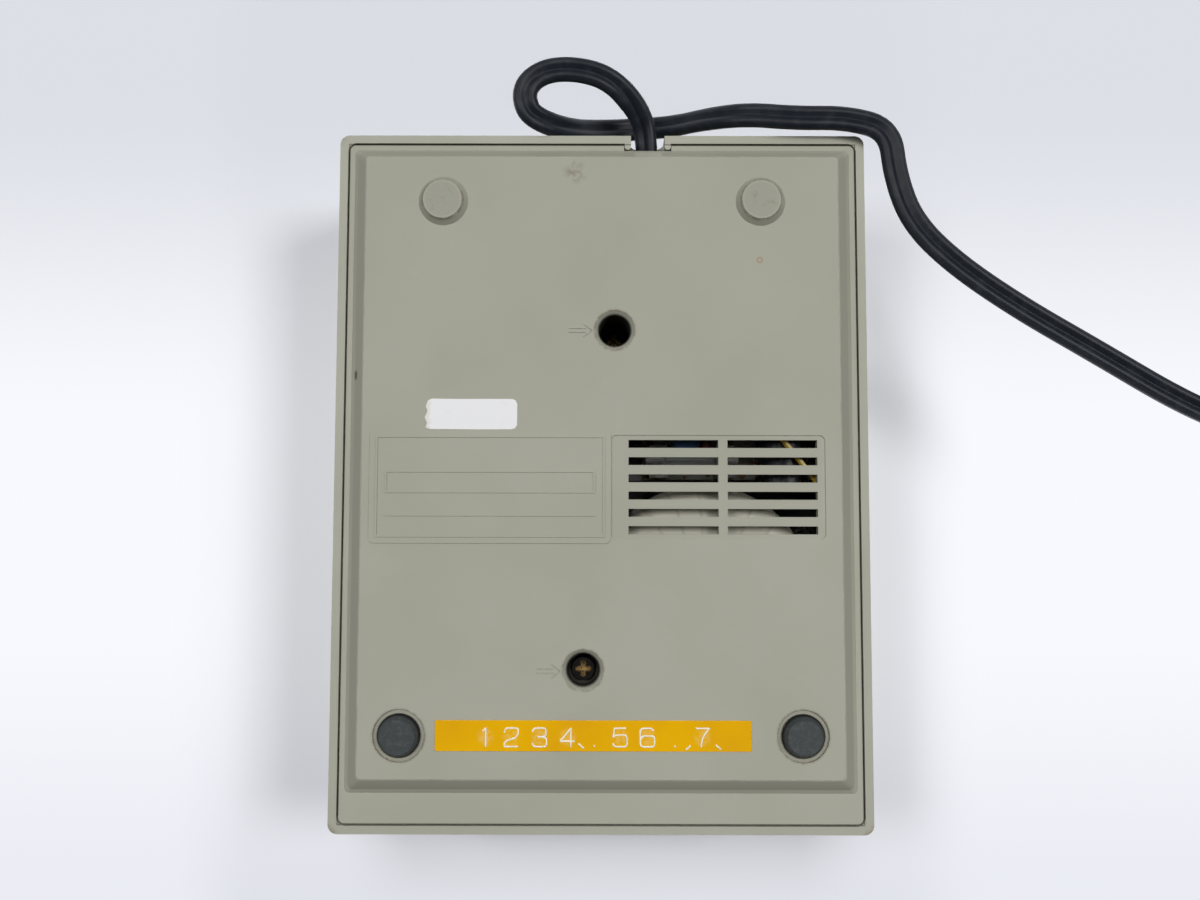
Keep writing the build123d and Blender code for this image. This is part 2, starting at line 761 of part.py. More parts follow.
# Cassette deck: a tray with the well's walls, hung from the top cover
with BuildPart() as cassette_deck:
    floor_length, floor_middle = spread(well_front - deck_wall, well_rear + deck_wall)
    well_length, well_middle = spread(well_front, well_rear)
    with BuildSketch(Plane.XY.offset(deck_underside)):
        with Locations((0, floor_middle)):
            Rectangle(2 * deck_half_width, floor_length)
        with Locations((0, well_front)):
            Rectangle(shelf_width, shelf_length, align=(Align.CENTER, Align.MAX))
        with Locations(*deck_screws_at[:2]):
            Rectangle(front_ear_width, front_ear_length)
        tab_length, tab_middle = spread(well_rear, inner_half_length - rear_tab_gap)
        with Locations((rear_ear_x, tab_middle), (-rear_ear_x, tab_middle)):
            Rectangle(rear_ear_width, tab_length)
    extrude(amount=deck_thickness)
    with BuildSketch(Plane.XY.offset(deck_floor)):
        with Locations((0, floor_middle)):
            Rectangle(2 * deck_half_width, floor_length)
        with Locations((0, well_middle)):
            RectangleRounded(2 * well_half_width, well_length, well_corner_radius, mode=Mode.SUBTRACT)
    extrude(amount=deck_wall_top - deck_floor)
    # Seats for the cassette, and its two locating pins
    seat_x = well_half_width - seat_size / 2
    with BuildSketch(Plane.XY.offset(deck_floor)):
        for seat_y in (well_rear - seat_size / 2, hub_y - front_seat_offset):
            with Locations((seat_x, seat_y), (-seat_x, seat_y)):
                Rectangle(seat_size, seat_size)
    extrude(amount=cassette_height - deck_floor)
    pin_y = cassette_front + locating_pin_inset
    with BuildSketch(Plane.XY.offset(deck_floor)):
        with Locations((locating_pin_x, pin_y), (-locating_pin_x, pin_y)):
            Circle(locating_pin_radius)
    extrude(amount=locating_pin_height)
    # Posts below: rear cover screw, chassis plate, and posts above for the magnet
    with BuildSketch(Plane.XY.offset(deck_underside)):
        with Locations(rear_screw):
            Circle(boss_radius)
    extrude(amount=rear_boss_end - deck_underside)
    with BuildSketch(Plane.XY.offset(deck_underside)):
        with Locations(*chassis_posts_at):
            Circle(post_radius)
    extrude(amount=chassis_top - deck_underside)
    with BuildSketch(Plane.XY.offset(deck_floor)):
        with Locations(*magnet_screws_at):
            Circle(magnet_limb / 2)
    extrude(amount=tape_z - magnet_stack / 2 - deck_floor)
    # Holes for the spindles, a window for the magnet's poles, and screw holes
    with Locations(*raised(hubs_at, deck_floor)):
        Hole(spindle_hole_radius, depth=deck_thickness)
    with BuildSketch(Plane.XZ.offset(-well_front)):
        with Locations((0, tape_z)):
            Rectangle(magnet_width + 2 * magnet_clearance, magnet_stack + 2 * magnet_clearance)
    extrude(amount=deck_wall, mode=Mode.SUBTRACT)
    with Locations(*raised(deck_screws_at, deck_floor)):
        Hole(small_screw_radius, depth=deck_thickness)
    with Locations(*raised(magnet_screws_at, tape_z - magnet_stack / 2)):
        Hole(small_screw_radius, depth=4)
    with Locations(Plane(origin=(*rear_screw, rear_boss_end), z_dir=(0, 0, -1))):
        Hole(screw_radius, depth=screw_length - well_seat + 0.5)
    with Locations(*[Plane(origin=(x, y, chassis_top), z_dir=(0, 0, -1)) for x, y in chassis_posts_at]):
        Hole(small_screw_radius, depth=chassis_screw_bite + 1)
save(cassette_deck, "cassette_deck")

deck_screws = pan_screws(raised(deck_screws_at, deck_underside), deck_thickness + screw_bite,
                         small_screw_radius, small_head_radius, small_head_height, -1)
save(deck_screws, "deck_screws")

# Lid: a frame with a rolled rear edge that turns on the hinge pin, and its window
with BuildPart() as lid_frame:
    frame_length, frame_middle = spread(lid_front, hinge_y)
    window_length, window_y = spread(lid_front + window_front, hinge_y - window_rear)
    with BuildSketch(Plane.XY.offset(lid_underside)):
        with Locations((0, frame_middle)):
            Rectangle(2 * lid_half_width, frame_length)
    extrude(amount=lid_thickness)
    fillet(lid_frame.edges().filter_by(Axis.Z).group_by(Axis.Y)[0], lid_corner_radius)
    with BuildSketch(Plane.YZ):
        with Locations((hinge_y, hinge_z)):
            Circle(hinge_radius)
    extrude(amount=lid_half_width, both=True)
    with BuildSketch(Plane.XY.offset(body_height)):
        with Locations((0, lid_front + lid_grip_length)):
            RectangleRounded(lid_grip_width, lid_grip_length, 1.0)
    extrude(amount=lid_grip_rise, taper=12)
    with BuildSketch(Plane.XY.offset(lid_underside)):
        with Locations((0, window_y)):
            RectangleRounded(window_width - 2 * window_rebate, window_length - 2 * window_rebate,
                             window_corner_radius - window_rebate)
    extrude(amount=lid_thickness, mode=Mode.SUBTRACT)
    window_bottom = body_height - window_sink - window_thickness
    with BuildSketch(Plane.XY.offset(window_bottom)):
        with Locations((0, window_y)):
            RectangleRounded(window_width, window_length, window_corner_radius)
    extrude(amount=window_thickness + window_sink, mode=Mode.SUBTRACT)
    with BuildSketch(Plane.YZ):
        with Locations((hinge_y, hinge_z)):
            Circle(hinge_pin_radius + hinge_clearance)
    extrude(amount=lid_half_width, both=True, mode=Mode.SUBTRACT)
save(lid_frame, "lid_frame")

with BuildPart() as lid_window:
    with BuildSketch(Plane.XY.offset(window_bottom)):
        with Locations((0, window_y)):
            RectangleRounded(window_width, window_length, window_corner_radius)
    extrude(amount=window_thickness)
save(lid_window, "lid_window")

with BuildPart() as lid_hinge_pin:
    with BuildSketch(Plane.YZ):
        with Locations((hinge_y, hinge_z)):
            Circle(hinge_pin_radius)
    extrude(amount=lid_half_width + lid_gap + hinge_pin_bite, both=True)
save(lid_hinge_pin, "lid_hinge_pin")

# Chassis plate: pressed steel with side flanges and a lobe for the motor
with BuildPart() as chassis_plate:
    plate_depth, plate_middle = spread(chassis_front, chassis_rear)
    with BuildSketch(Plane.XY.offset(chassis_underside)):
        with Locations((0, plate_middle)):
            RectangleRounded(2 * chassis_half_width, plate_depth, chassis_corner_radius)
        with Locations((motor_x, motor_y)):
            Circle(motor_radius + motor_lobe)
            Rectangle(2 * (motor_radius + motor_lobe), chassis_front - motor_y + motor_lobe,
                      align=(Align.CENTER, Align.MIN))
    extrude(amount=chassis_thickness)
    with BuildSketch(Plane.XY.offset(chassis_underside - chassis_flange)):
        flange_x = chassis_half_width - chassis_thickness / 2
        with Locations((flange_x, plate_middle), (-flange_x, plate_middle)):
            Rectangle(chassis_thickness, plate_depth - 2 * chassis_flange_end)
    extrude(amount=chassis_flange)
    with BuildSketch(Plane.XY.offset(chassis_top)):
        with Locations(rear_screw):
            Circle(boss_radius + 1)
        with Locations((motor_x, motor_y)):
            Circle(motor_pilot_radius + 0.1)
            with GridLocations(motor_screw_pitch, 1, 2, 1):
                Circle(small_screw_radius + 0.2)
        with Locations(*chassis_posts_at):
            Circle(small_screw_radius + 0.2)
        with Locations(*hubs_at):
            Circle(spindle_shaft_radius)
        with Locations((0, chassis_front + chassis_slot_inset[0]), (0, chassis_rear - chassis_slot_inset[1])):
            SlotOverall(chassis_slot_length, chassis_slot_width)
    extrude(amount=-chassis_thickness, mode=Mode.SUBTRACT)
save(chassis_plate, "chassis_plate")

chassis_screws = pan_screws(raised(chassis_posts_at, chassis_underside), chassis_thickness + chassis_screw_bite,
                            small_screw_radius, small_head_radius, small_head_height, -1)
save(chassis_screws, "chassis_screws")

# Reel drive: fixed shafts, washers, and two turned spindles with splined posts
spindle_top = cassette_height + spindle_height
with BuildPart() as spindle_shafts:
    with BuildSketch(Plane.XY.offset(chassis_underside)):
        with Locations(*hubs_at):
            Circle(spindle_shaft_radius)
    extrude(amount=spindle_top - spindle_tip_height - 1 - chassis_underside)
save(spindle_shafts, "spindle_shafts")

with BuildPart() as spindle_washers:
    with BuildSketch(Plane.XY.offset(chassis_top)):
        with Locations(*hubs_at):
            Circle(washer_radius)
            Circle(spindle_shaft_radius, mode=Mode.SUBTRACT)
    extrude(amount=washer_thickness)
save(spindle_washers, "spindle_washers")


def splined_post(x, y):
    """The part of a spindle that reaches up through the deck into the cassette's hub."""
    tip_base = spindle_top - spindle_tip_height
    with BuildPart() as post:
        with BuildSketch(Plane.XY.offset(spindle_base)):
            with Locations((x, y)):
                Circle(spindle_neck_radius)
        extrude(amount=cassette_height - 0.6 - spindle_base)
        with BuildSketch(Plane.XY.offset(cassette_height - 0.6)):
            with Locations((x, y)):
                Circle(spindle_core_radius)
                with PolarLocations(0, spindle_fins):
                    Rectangle(spindle_fin_radius, spindle_fin_thickness, align=(Align.MIN, Align.CENTER))
        extrude(amount=tip_base + 0.6 - cassette_height)
        with BuildSketch(Plane.XY.offset(tip_base)):
            with Locations((x, y)):
                Circle(spindle_core_radius)
        with BuildSketch(Plane.XY.offset(spindle_top)):
            with Locations((x, y)):
                Circle(spindle_tip_radius)
        loft()
    return post.part


with BuildPart() as takeup_spindle:
    rim_profile = [(0, 0), (takeup_pulley_radius, 0), (takeup_pulley_radius, 0.8),
                   (takeup_groove_radius, 1.2), (takeup_groove_radius, pulley_thickness - 1.2),
                   (takeup_pulley_radius, pulley_thickness - 0.8), (takeup_pulley_radius, pulley_thickness),
                   (0, pulley_thickness)]
    with BuildSketch(Plane(origin=(hub_x, hub_y, spindle_base), x_dir=(1, 0, 0), z_dir=(0, -1, 0))):
        with BuildLine():
            Polyline(*rim_profile, close=True)
        make_face()
    revolve(axis=Axis((hub_x, hub_y, 0), (0, 0, 1)))
    with BuildSketch(Plane.XY.offset(spindle_base)):
        with Locations((hub_x, hub_y)):
            with PolarLocations((takeup_groove_radius + spindle_neck_radius) / 2 - 0.3, lightening_holes):
                Circle(lightening_radius)
    extrude(amount=pulley_thickness, mode=Mode.SUBTRACT)
    add(splined_post(hub_x, hub_y))
    with Locations(Plane(origin=(hub_x, hub_y, spindle_base), z_dir=(0, 0, -1))):
        Hole(spindle_shaft_radius + running_clearance, depth=spindle_top - spindle_tip_height - spindle_base)
save(takeup_spindle, "takeup_spindle")

with BuildPart() as supply_spindle:
    with BuildSketch(Plane.XY.offset(spindle_base)):
        with Locations((-hub_x, hub_y)):
            Circle(supply_disc_radius)
    extrude(amount=supply_disc_thickness)
    add(splined_post(-hub_x, hub_y))
    with Locations(Plane(origin=(-hub_x, hub_y, spindle_base), z_dir=(0, 0, -1))):
        Hole(spindle_shaft_radius + running_clearance, depth=spindle_top - spindle_tip_height - spindle_base)
save(supply_spindle, "supply_spindle")

with BuildPart() as drive_belt:
    inner_takeup = takeup_groove_radius + belt_clearance
    inner_motor = motor_groove_radius + belt_clearance
    with BuildSketch(Plane.XY.offset(belt_height - belt_width / 2)):
        with Locations((hub_x, hub_y)):
            Circle(inner_takeup + belt_thickness)
        with Locations((motor_x, motor_y)):
            Circle(inner_motor + belt_thickness)
        make_hull()
    extrude(amount=belt_width)
    with BuildSketch(Plane.XY.offset(belt_height - belt_width / 2)):
        with Locations((hub_x, hub_y)):
            Circle(inner_takeup)
        with Locations((motor_x, motor_y)):
            Circle(inner_motor)
        make_hull()
    extrude(amount=belt_width, mode=Mode.SUBTRACT)
save(drive_belt, "drive_belt")

# Motor, hung from the chassis plate
with BuildPart() as motor_can:
    with BuildSketch(Plane.XY.offset(chassis_underside)):
        with Locations((motor_x, motor_y)):
            Circle(motor_radius)
    extrude(amount=-motor_height)
    chamfer(motor_can.faces().sort_by(Axis.Z)[0].edges(), motor_edge_radius)
    with BuildSketch(Plane.XY.offset(chassis_underside)):
        with Locations((motor_x, motor_y)):
            Circle(motor_pilot_radius)
    extrude(amount=motor_pilot_height)
    with Locations((motor_x, motor_y, chassis_underside + motor_pilot_height)):
        Hole(motor_shaft_radius + running_clearance, depth=motor_pilot_height + motor_shaft_sunk)
    with Locations((motor_x, motor_y, chassis_underside)):
        with GridLocations(motor_screw_pitch, 1, 2, 1):
            Hole(small_screw_radius, depth=3)
save(motor_can, "motor_can")

motor_screws_at = [(motor_x - motor_screw_pitch / 2, motor_y),
                   (motor_x + motor_screw_pitch / 2, motor_y)]
motor_screws = pan_screws(raised(motor_screws_at, chassis_top), chassis_thickness + motor_screw_bite,
                          small_screw_radius, tiny_head_radius, tiny_head_height, 1)
save(motor_screws, "motor_screws")

with BuildPart() as motor_shaft:
    with BuildSketch(Plane.XY.offset(chassis_underside - motor_shaft_sunk + 0.3)):
        with Locations((motor_x, motor_y)):
            Circle(motor_shaft_radius)
    extrude(amount=spindle_base + pulley_thickness - chassis_underside + motor_shaft_sunk - 0.3)
save(motor_shaft, "motor_shaft")

with BuildPart() as motor_pulley:
    with BuildSketch(Plane(origin=(motor_x, motor_y, spindle_base), x_dir=(1, 0, 0), z_dir=(0, -1, 0))):
        with BuildLine():
            Polyline((motor_shaft_radius, 0), (motor_pulley_radius, 0), (motor_pulley_radius, 0.6),
                     (motor_groove_radius, 1.1), (motor_groove_radius, pulley_thickness - 1.1),
                     (motor_pulley_radius, pulley_thickness - 0.6),
                     (motor_pulley_radius, pulley_thickness), (motor_shaft_radius, pulley_thickness),
                     close=True)
        make_face()
    revolve(axis=Axis((motor_x, motor_y, 0), (0, 0, 1)))
save(motor_pulley, "motor_pulley")

# Mains transformer on its post, with a dished plate and one bolt
transformer_top = transformer_seat + transformer_height
with BuildPart() as mains_transformer:
    with BuildSketch(Plane.XY.offset(transformer_seat)):
        with Locations((transformer_x, transformer_y)):
            Circle(transformer_radius)
            Circle(transformer_bore, mode=Mode.SUBTRACT)
    extrude(amount=transformer_height)
    fillet(mains_transformer.edges().filter_by(GeomType.CIRCLE).group_by(SortBy.RADIUS)[-1],
           transformer_edge_radius)
save(mains_transformer, "mains_transformer")

with BuildPart() as transformer_plate:
    with BuildSketch(Plane.XY.offset(transformer_top)):
        with Locations((transformer_x, transformer_y)):
            Circle(transformer_plate_radius)
            Circle(transformer_bolt_radius, mode=Mode.SUBTRACT)
    extrude(amount=transformer_plate_thickness)
save(transformer_plate, "transformer_plate")

transformer_bolt = pan_screws([(transformer_x, transformer_y, transformer_top + transformer_plate_thickness)],
                              transformer_bolt_length, transformer_bolt_radius,
                              transformer_bolt_head, screw_head_height, 1)
save(transformer_bolt, "transformer_bolt")

# Circuit board hung on spacers, with the larger parts below it
board_width, board_x = spread(board_left, board_right)
reservoir_x = board_left + reservoir_inset
with BuildPart() as circuit_board:
    with BuildSketch(Plane.XY.offset(board_height)):
        with Locations((board_x, board_front)):
            Rectangle(board_width, board_length, align=(Align.CENTER, Align.MIN))
        with Locations(*board_posts_at):
            Circle(small_screw_radius, mode=Mode.SUBTRACT)
    extrude(amount=board_thickness)
save(circuit_board, "circuit_board")

with BuildPart() as board_spacers:
    with BuildSketch(Plane.XY.offset(board_top)):
        with Locations(*board_posts_at):
            RegularPolygon(spacer_radius, 6)
            Circle(small_screw_radius, mode=Mode.SUBTRACT)
    extrude(amount=chassis_underside - board_top)
save(board_spacers, "board_spacers")

board_screws = pan_screws(raised(board_posts_at, board_height),
                          chassis_underside - board_height - board_screw_gap,
                          small_screw_radius, tiny_head_radius, tiny_head_height, -1)
save(board_screws, "board_screws")

with BuildPart() as reservoir_capacitor:
    reservoir_z = board_height - reservoir_radius
    with BuildSketch(Plane.XZ.offset(-reservoir_y - reservoir_length / 2)):
        with Locations((reservoir_x, reservoir_z)):
            Circle(reservoir_radius)
    extrude(amount=reservoir_length)
    chamfer(reservoir_capacitor.edges().filter_by(GeomType.CIRCLE), reservoir_edge)
save(reservoir_capacitor, "reservoir_capacitor")

with BuildPart() as film_capacitor:
    with BuildSketch(Plane.XY.offset(board_height)):
        with Locations(film_capacitor_at):
            Rectangle(film_width, film_depth)
    extrude(amount=-film_height)
    fillet(film_capacitor.edges().filter_by(Axis.Z), film_corner)
save(film_capacitor, "film_capacitor")

with BuildPart() as resistors:
    for x, y in resistors_at:
        with BuildSketch(Plane.XZ.offset(-y - resistor_length / 2)):
            with Locations((x, board_height - resistor_drop)):
                Circle(resistor_radius)
        extrude(amount=resistor_length)
        with BuildSketch(Plane.XY.offset(board_height)):
            with Locations((x, y)):
                with GridLocations(1, resistor_length - 2 * lead_radius, 1, 2):
                    Rectangle(lead_radius, lead_radius)
        extrude(amount=-resistor_drop)
save(resistors, "resistors")

with BuildPart() as rectifier_diodes:
    for x, y in diodes_at:
        with BuildSketch(Plane.YZ.offset(x - diode_length / 2)):
            with Locations((y, board_height - diode_drop)):
                Circle(diode_radius)
        extrude(amount=diode_length)
        with BuildSketch(Plane.XY.offset(board_height)):
            with Locations((x, y)):
                with GridLocations(diode_length - 2 * lead_radius, 1, 2, 1):
                    Rectangle(lead_radius, lead_radius)
        extrude(amount=-diode_drop)
save(rectifier_diodes, "rectifier_diodes")

fuse_z = board_height - fuse_drop
with BuildPart() as fuse:
    with BuildSketch(Plane.YZ.offset(fuse_x - fuse_length / 2)):
        with Locations((fuse_y, fuse_z)):
            Circle(fuse_radius)
    extrude(amount=fuse_length)
save(fuse, "fuse")

with BuildPart() as fuse_clips:
    clip_reach = (fuse_length - fuse_clip_length) / 2 - fuse_clip_sheet
    for x in (fuse_x - clip_reach, fuse_x + clip_reach):
        with BuildSketch(Plane.YZ.offset(x - fuse_clip_length / 2)):
            with Locations((fuse_y, board_height)):
                Rectangle(fuse_clip_width, fuse_drop + fuse_clip_reach, align=(Align.CENTER, Align.MAX))
            with Locations((fuse_y, fuse_z)):
                Circle(fuse_radius, mode=Mode.SUBTRACT)
        extrude(amount=fuse_clip_length)
save(fuse_clips, "fuse_clips")

lead_route = [(-31.0, 16.5, board_height), (-31.2, 15.9, 6.4), (-34.5, 12.5, 4.5), (-45.6, -1.4, 4.5),
              (-47.6, -6.2, 7.6), (-47.9, -11.6, 11.6), (-44.7, -16.3, 13.0)]
with BuildPart() as transformer_leads:
    with BuildLine() as lead_line:
        FilletPolyline(*lead_route, radius=bend_radii(lead_route))
    with BuildSketch(Plane(origin=lead_line.line @ 0, z_dir=lead_line.line % 0)):
        RegularPolygon(lead_radius, cord_sides)
    sweep()
save(transformer_leads, "transformer_leads")

# Erase magnet: a laminated ring whose gap faces the tape, wound on its rear limb
magnet_front = cassette_front - magnet_air
magnet_low = tape_z - magnet_stack / 2
magnet_rear = magnet_front - magnet_length
with BuildPart() as magnet_core:
    with BuildSketch(Plane.XY.offset(magnet_low)) as magnet_sketch:
        with Locations((0, magnet_front)):
            Rectangle(magnet_width, magnet_length, align=(Align.CENTER, Align.MAX))
        chamfer(magnet_sketch.vertices().group_by(Axis.Y)[-1], magnet_taper)
        with Locations((0, magnet_rear + magnet_limb)):
            Rectangle(magnet_width - 2 * magnet_limb, magnet_length - magnet_limb - magnet_pole,
                      align=(Align.CENTER, Align.MIN), mode=Mode.SUBTRACT)
        with Locations((0, magnet_front)):
            Rectangle(magnet_gap, 2 * magnet_pole + 1, mode=Mode.SUBTRACT)
        with Locations(*magnet_screws_at):
            Circle(small_screw_radius, mode=Mode.SUBTRACT)
    extrude(amount=magnet_stack)
save(magnet_core, "magnet_core")

with BuildPart() as magnet_winding:
    with BuildSketch(Plane.YZ):
        with Locations((magnet_rear + magnet_limb / 2, tape_z)):
            RectangleRounded(magnet_limb + 2 * winding_wall, magnet_stack + 2 * winding_wall, winding_corner)
            Rectangle(magnet_limb, magnet_stack, mode=Mode.SUBTRACT)
    extrude(amount=winding_width / 2, both=True)
save(magnet_winding, "magnet_winding")

magnet_screws = pan_screws(raised(magnet_screws_at, magnet_low + magnet_stack),
                           magnet_stack + magnet_screw_bite, small_screw_radius,
                           tiny_head_radius, tiny_head_height, 1)
save(magnet_screws, "magnet_screws")

# Keys: hollow caps with an arm each, turning on one shaft in a folded bracket
key_top = body_height + key_rise
key_bottom = key_top - key_depth


def make_key(middle_x, arm_x):
    """One key with its dished top, arm, eye and the peg that holds its spring."""
    with BuildPart() as key:
        with BuildSketch(Plane.YZ.offset(middle_x - key_width / 2)):
            with BuildLine():
                Polyline((key_front + key_lean, key_top), (key_front, key_bottom),
                         (key_rear, key_bottom), (key_rear, key_top))
                ThreePointArc((key_rear, key_top), ((key_front + key_rear) / 2, key_top - key_dish),
                              (key_front + key_lean, key_top))
            make_face()
        extrude(amount=key_width)
        fillet(key.edges().filter_by(Axis.Z), key_corner)
        pocket_length, pocket_middle = spread(key_front + key_lean + key_wall, key_rear - key_wall)
        with BuildSketch(Plane.XY.offset(key_bottom)):
            with Locations((middle_x, pocket_middle)):
                Rectangle(key_width - 2 * key_wall, pocket_length)
        extrude(amount=key_depth - key_dish - key_wall, mode=Mode.SUBTRACT)
        with BuildSketch(Plane.XY.offset(key_bottom)):
            with Locations((arm_x, spring_y)):
                Circle(spring_radius)
        extrude(amount=key_depth - key_dish - key_wall / 2)
        with BuildSketch(Plane.XY.offset(key_bottom)):
            with Locations((arm_x, spring_y)):
                Circle(spring_radius - spring_wire - 2 * spring_clearance)
        extrude(amount=-key_peg)
        with BuildSketch(Plane.YZ.offset(arm_x - key_arm_width / 2)):
            with Locations((key_shaft_y, key_shaft_z)):
                Circle(key_eye_radius)
            with Locations((key_rear, key_bottom)):
                Rectangle(key_wall, key_arm_root, align=(Align.MAX, Align.MIN))
            make_hull()
        extrude(amount=key_arm_width)
        with BuildSketch(Plane.YZ.offset(arm_x - key_arm_width / 2)):
            with Locations((key_shaft_y, key_shaft_z)):
                Circle(key_shaft_radius + running_clearance)
        extrude(amount=key_arm_width, mode=Mode.SUBTRACT)
    return key


key_x = (key_width + key_gap) / 2
start_key = make_key(key_x, key_arm_x)
save(start_key, "start_key")
stop_key = make_key(-key_x, -key_arm_x)
save(stop_key, "stop_key")

with BuildPart() as key_shaft:
    with BuildSketch(Plane.YZ):
        with Locations((key_shaft_y, key_shaft_z)):
            Circle(key_shaft_radius)
    extrude(amount=bracket_width / 2, both=True)
save(key_shaft, "key_shaft")

with BuildPart() as key_bracket:
    bracket_length, bracket_middle = spread(bracket_front, bracket_rear)
    with BuildSketch(Plane.XY.offset(bracket_base)):
        with Locations((0, bracket_middle)):
            Rectangle(bracket_width, bracket_length)
        with Locations(front_screw):
            Circle(boss_radius + 1, mode=Mode.SUBTRACT)
        with Locations(*bracket_posts_at):
            Circle(small_screw_radius + 0.2, mode=Mode.SUBTRACT)
    extrude(amount=bracket_sheet)
    for x in (-bracket_width / 2, bracket_width / 2 - bracket_sheet):
        with BuildSketch(Plane.YZ.offset(x)):
            with Locations((key_shaft_y, key_shaft_z)):
                Circle(key_eye_radius + bracket_sheet)
            with Locations((key_shaft_y, bracket_base)):
                Rectangle(2 * bracket_heel, bracket_sheet,
                          align=(Align.CENTER, Align.MIN))
            make_hull()
            with Locations((key_shaft_y, key_shaft_z)):
                Circle(key_shaft_radius, mode=Mode.SUBTRACT)
        extrude(amount=bracket_sheet)
save(key_bracket, "key_bracket")

bracket_screws = pan_screws(raised(bracket_posts_at, bracket_base), bracket_sheet + screw_bite,
                            small_screw_radius, small_head_radius, small_head_height, -1)
save(bracket_screws, "bracket_screws")


def make_spring(x):
    """The sleeve that stands for one key's coil spring."""
    with BuildPart() as spring:
        with BuildSketch(Plane.XY.offset(bracket_top + spring_clearance)):
            with Locations((x, spring_y)):
                Circle(spring_radius)
                Circle(spring_radius - spring_wire, mode=Mode.SUBTRACT)
        extrude(amount=key_bottom - bracket_top - 2 * spring_clearance)
    return spring


start_spring = make_spring(key_arm_x)
save(start_spring, "start_spring")
stop_spring = make_spring(-key_arm_x)
save(stop_spring, "stop_spring")

with BuildPart() as leaf_switches:
    for x in (key_arm_x, -key_arm_x):
        with BuildSketch(Plane.XY.offset(bracket_top)):
            with Locations((x, switch_y)):
                Rectangle(switch_width, switch_length)
        extrude(amount=switch_height)
        with BuildSketch(Plane.YZ.offset(x - leaf_width / 2)):
            for y, tall in ((switch_y - leaf_spread, leaf_tall), (switch_y + leaf_spread, leaf_short)):
                with Locations((y, bracket_top + switch_height)):
                    Rectangle(leaf_thickness, tall, align=(Align.CENTER, Align.MIN))
                with Locations((y, bracket_top + switch_height + tall)):
                    Rectangle(leaf_tongue, leaf_thickness, align=(Align.MAX, Align.MAX))
        extrude(amount=leaf_width)
save(leaf_switches, "leaf_switches")

# Pilot light: a domed lens in the roof and the lamp in the collar behind it
with BuildPart() as pilot_lens:
    with BuildSketch(Plane.XY.offset(roof_inside - pilot_lens_depth)):
        with Locations((pilot_x, pilot_y)):
            Circle(pilot_radius)
    extrude(amount=shell_top + pilot_lens_depth + pilot_dome)
    fillet(pilot_lens.faces().sort_by(Axis.Z)[-1].edges(), pilot_dome)
save(pilot_lens, "pilot_lens")

with BuildPart() as pilot_lamp:
    with BuildSketch(Plane.XY.offset(roof_inside - pilot_length)):
        with Locations((pilot_x, pilot_y)):
            Circle(pilot_radius)
    extrude(amount=pilot_length - pilot_lens_depth - 0.4)
    fillet(pilot_lamp.faces().sort_by(Axis.Z)[-1].edges(), pilot_radius / 2)
save(pilot_lamp, "pilot_lamp")

# Cord clamp, with two screws down into the bottom cover's posts
clamp_screws_at = [(cord_exit_x - clamp_post_pitch / 2, clamp_y),
                   (cord_exit_x + clamp_post_pitch / 2, clamp_y)]
with BuildPart() as cord_clamp:
    with BuildSketch(Plane.XY.offset(clamp_bottom)):
        with Locations((cord_exit_x, clamp_y)):
            RectangleRounded(clamp_width, clamp_length, clamp_corner)
        with Locations(*clamp_screws_at):
            Circle(small_screw_radius, mode=Mode.SUBTRACT)
    extrude(amount=clamp_top - clamp_bottom)
save(cord_clamp, "cord_clamp")

clamp_screws = pan_screws(raised(clamp_screws_at, clamp_top), clamp_top - clamp_bottom + clamp_screw_bite,
                          small_screw_radius, tiny_head_radius, tiny_head_height, 1)
save(clamp_screws, "clamp_screws")

# The cord's coil: one tube that spirals in on the table, climbs, and spirals out on top
lower_layer = cord_radius + tie_thickness + tie_gap
upper_layer = lower_layer + coil_pitch
coil_centre = Vector(coil_x, coil_y, 0)
coil_outer_radius = coil_inner_radius + coil_pitch * coil_turns
last_quarter = pi / 2 * (coil_outer_radius - coil_pitch / 8)
plug_height = upper_layer + cord_radius + plug_clearance + plug_thickness / 2
climb_length = last_quarter + tail_radius * radians(tail_turn)


def tail_climb(distance):
    """Height above the upper layer, and slope, at a distance along the climbing end."""
    part = distance / climb_length
    rise = plug_height - upper_layer
    return rise * (3 - 2 * part) * part ** 2, rise * 6 * part * (1 - part) / climb_length


def coil_place(turn):
    """Point and direction on the coil, with turns counted from its innermost point."""
    angle = radians(coil_start_angle) - 2 * pi * (turn + coil_turns)
    radius = coil_inner_radius + coil_pitch * abs(turn)
    outward = Vector(cos(angle), sin(angle), 0)
    onward = Vector(sin(angle), -cos(angle), 0)
    growth = 0 if turn == 0 else coil_pitch / (2 * pi) * turn / abs(turn)
    height = lower_layer if turn < 0 else upper_layer
    slope = 0
    if turn == 0:
        height = (lower_layer + upper_layer) / 2
        slope = 1.5 * coil_pitch / pi
    if turn == coil_turns:
        lift, steepness = tail_climb(last_quarter)
        height += lift
        slope = steepness * radius
    way = onward * radius + outward * growth + Vector(0, 0, slope)
    return coil_centre + outward * radius + Vector(0, 0, height), way.normalized()


def tail_place(step):
    """Point and direction on the end that turns in over the coil towards the plug."""
    end_angle = radians(coil_start_angle) - 4 * pi * coil_turns
    angle = end_angle - radians(tail_turn) * step / tail_steps
    shift = coil_outer_radius - tail_radius
    centre = coil_centre + Vector(cos(end_angle), sin(end_angle), 0) * shift
    lift, steepness = tail_climb(last_quarter + tail_radius * radians(tail_turn) * step / tail_steps)
    point = centre + Vector(cos(angle), sin(angle), 0) * tail_radius
    way = Vector(sin(angle), -cos(angle), steepness)
    return point + Vector(0, 0, upper_layer + lift), way.normalized()


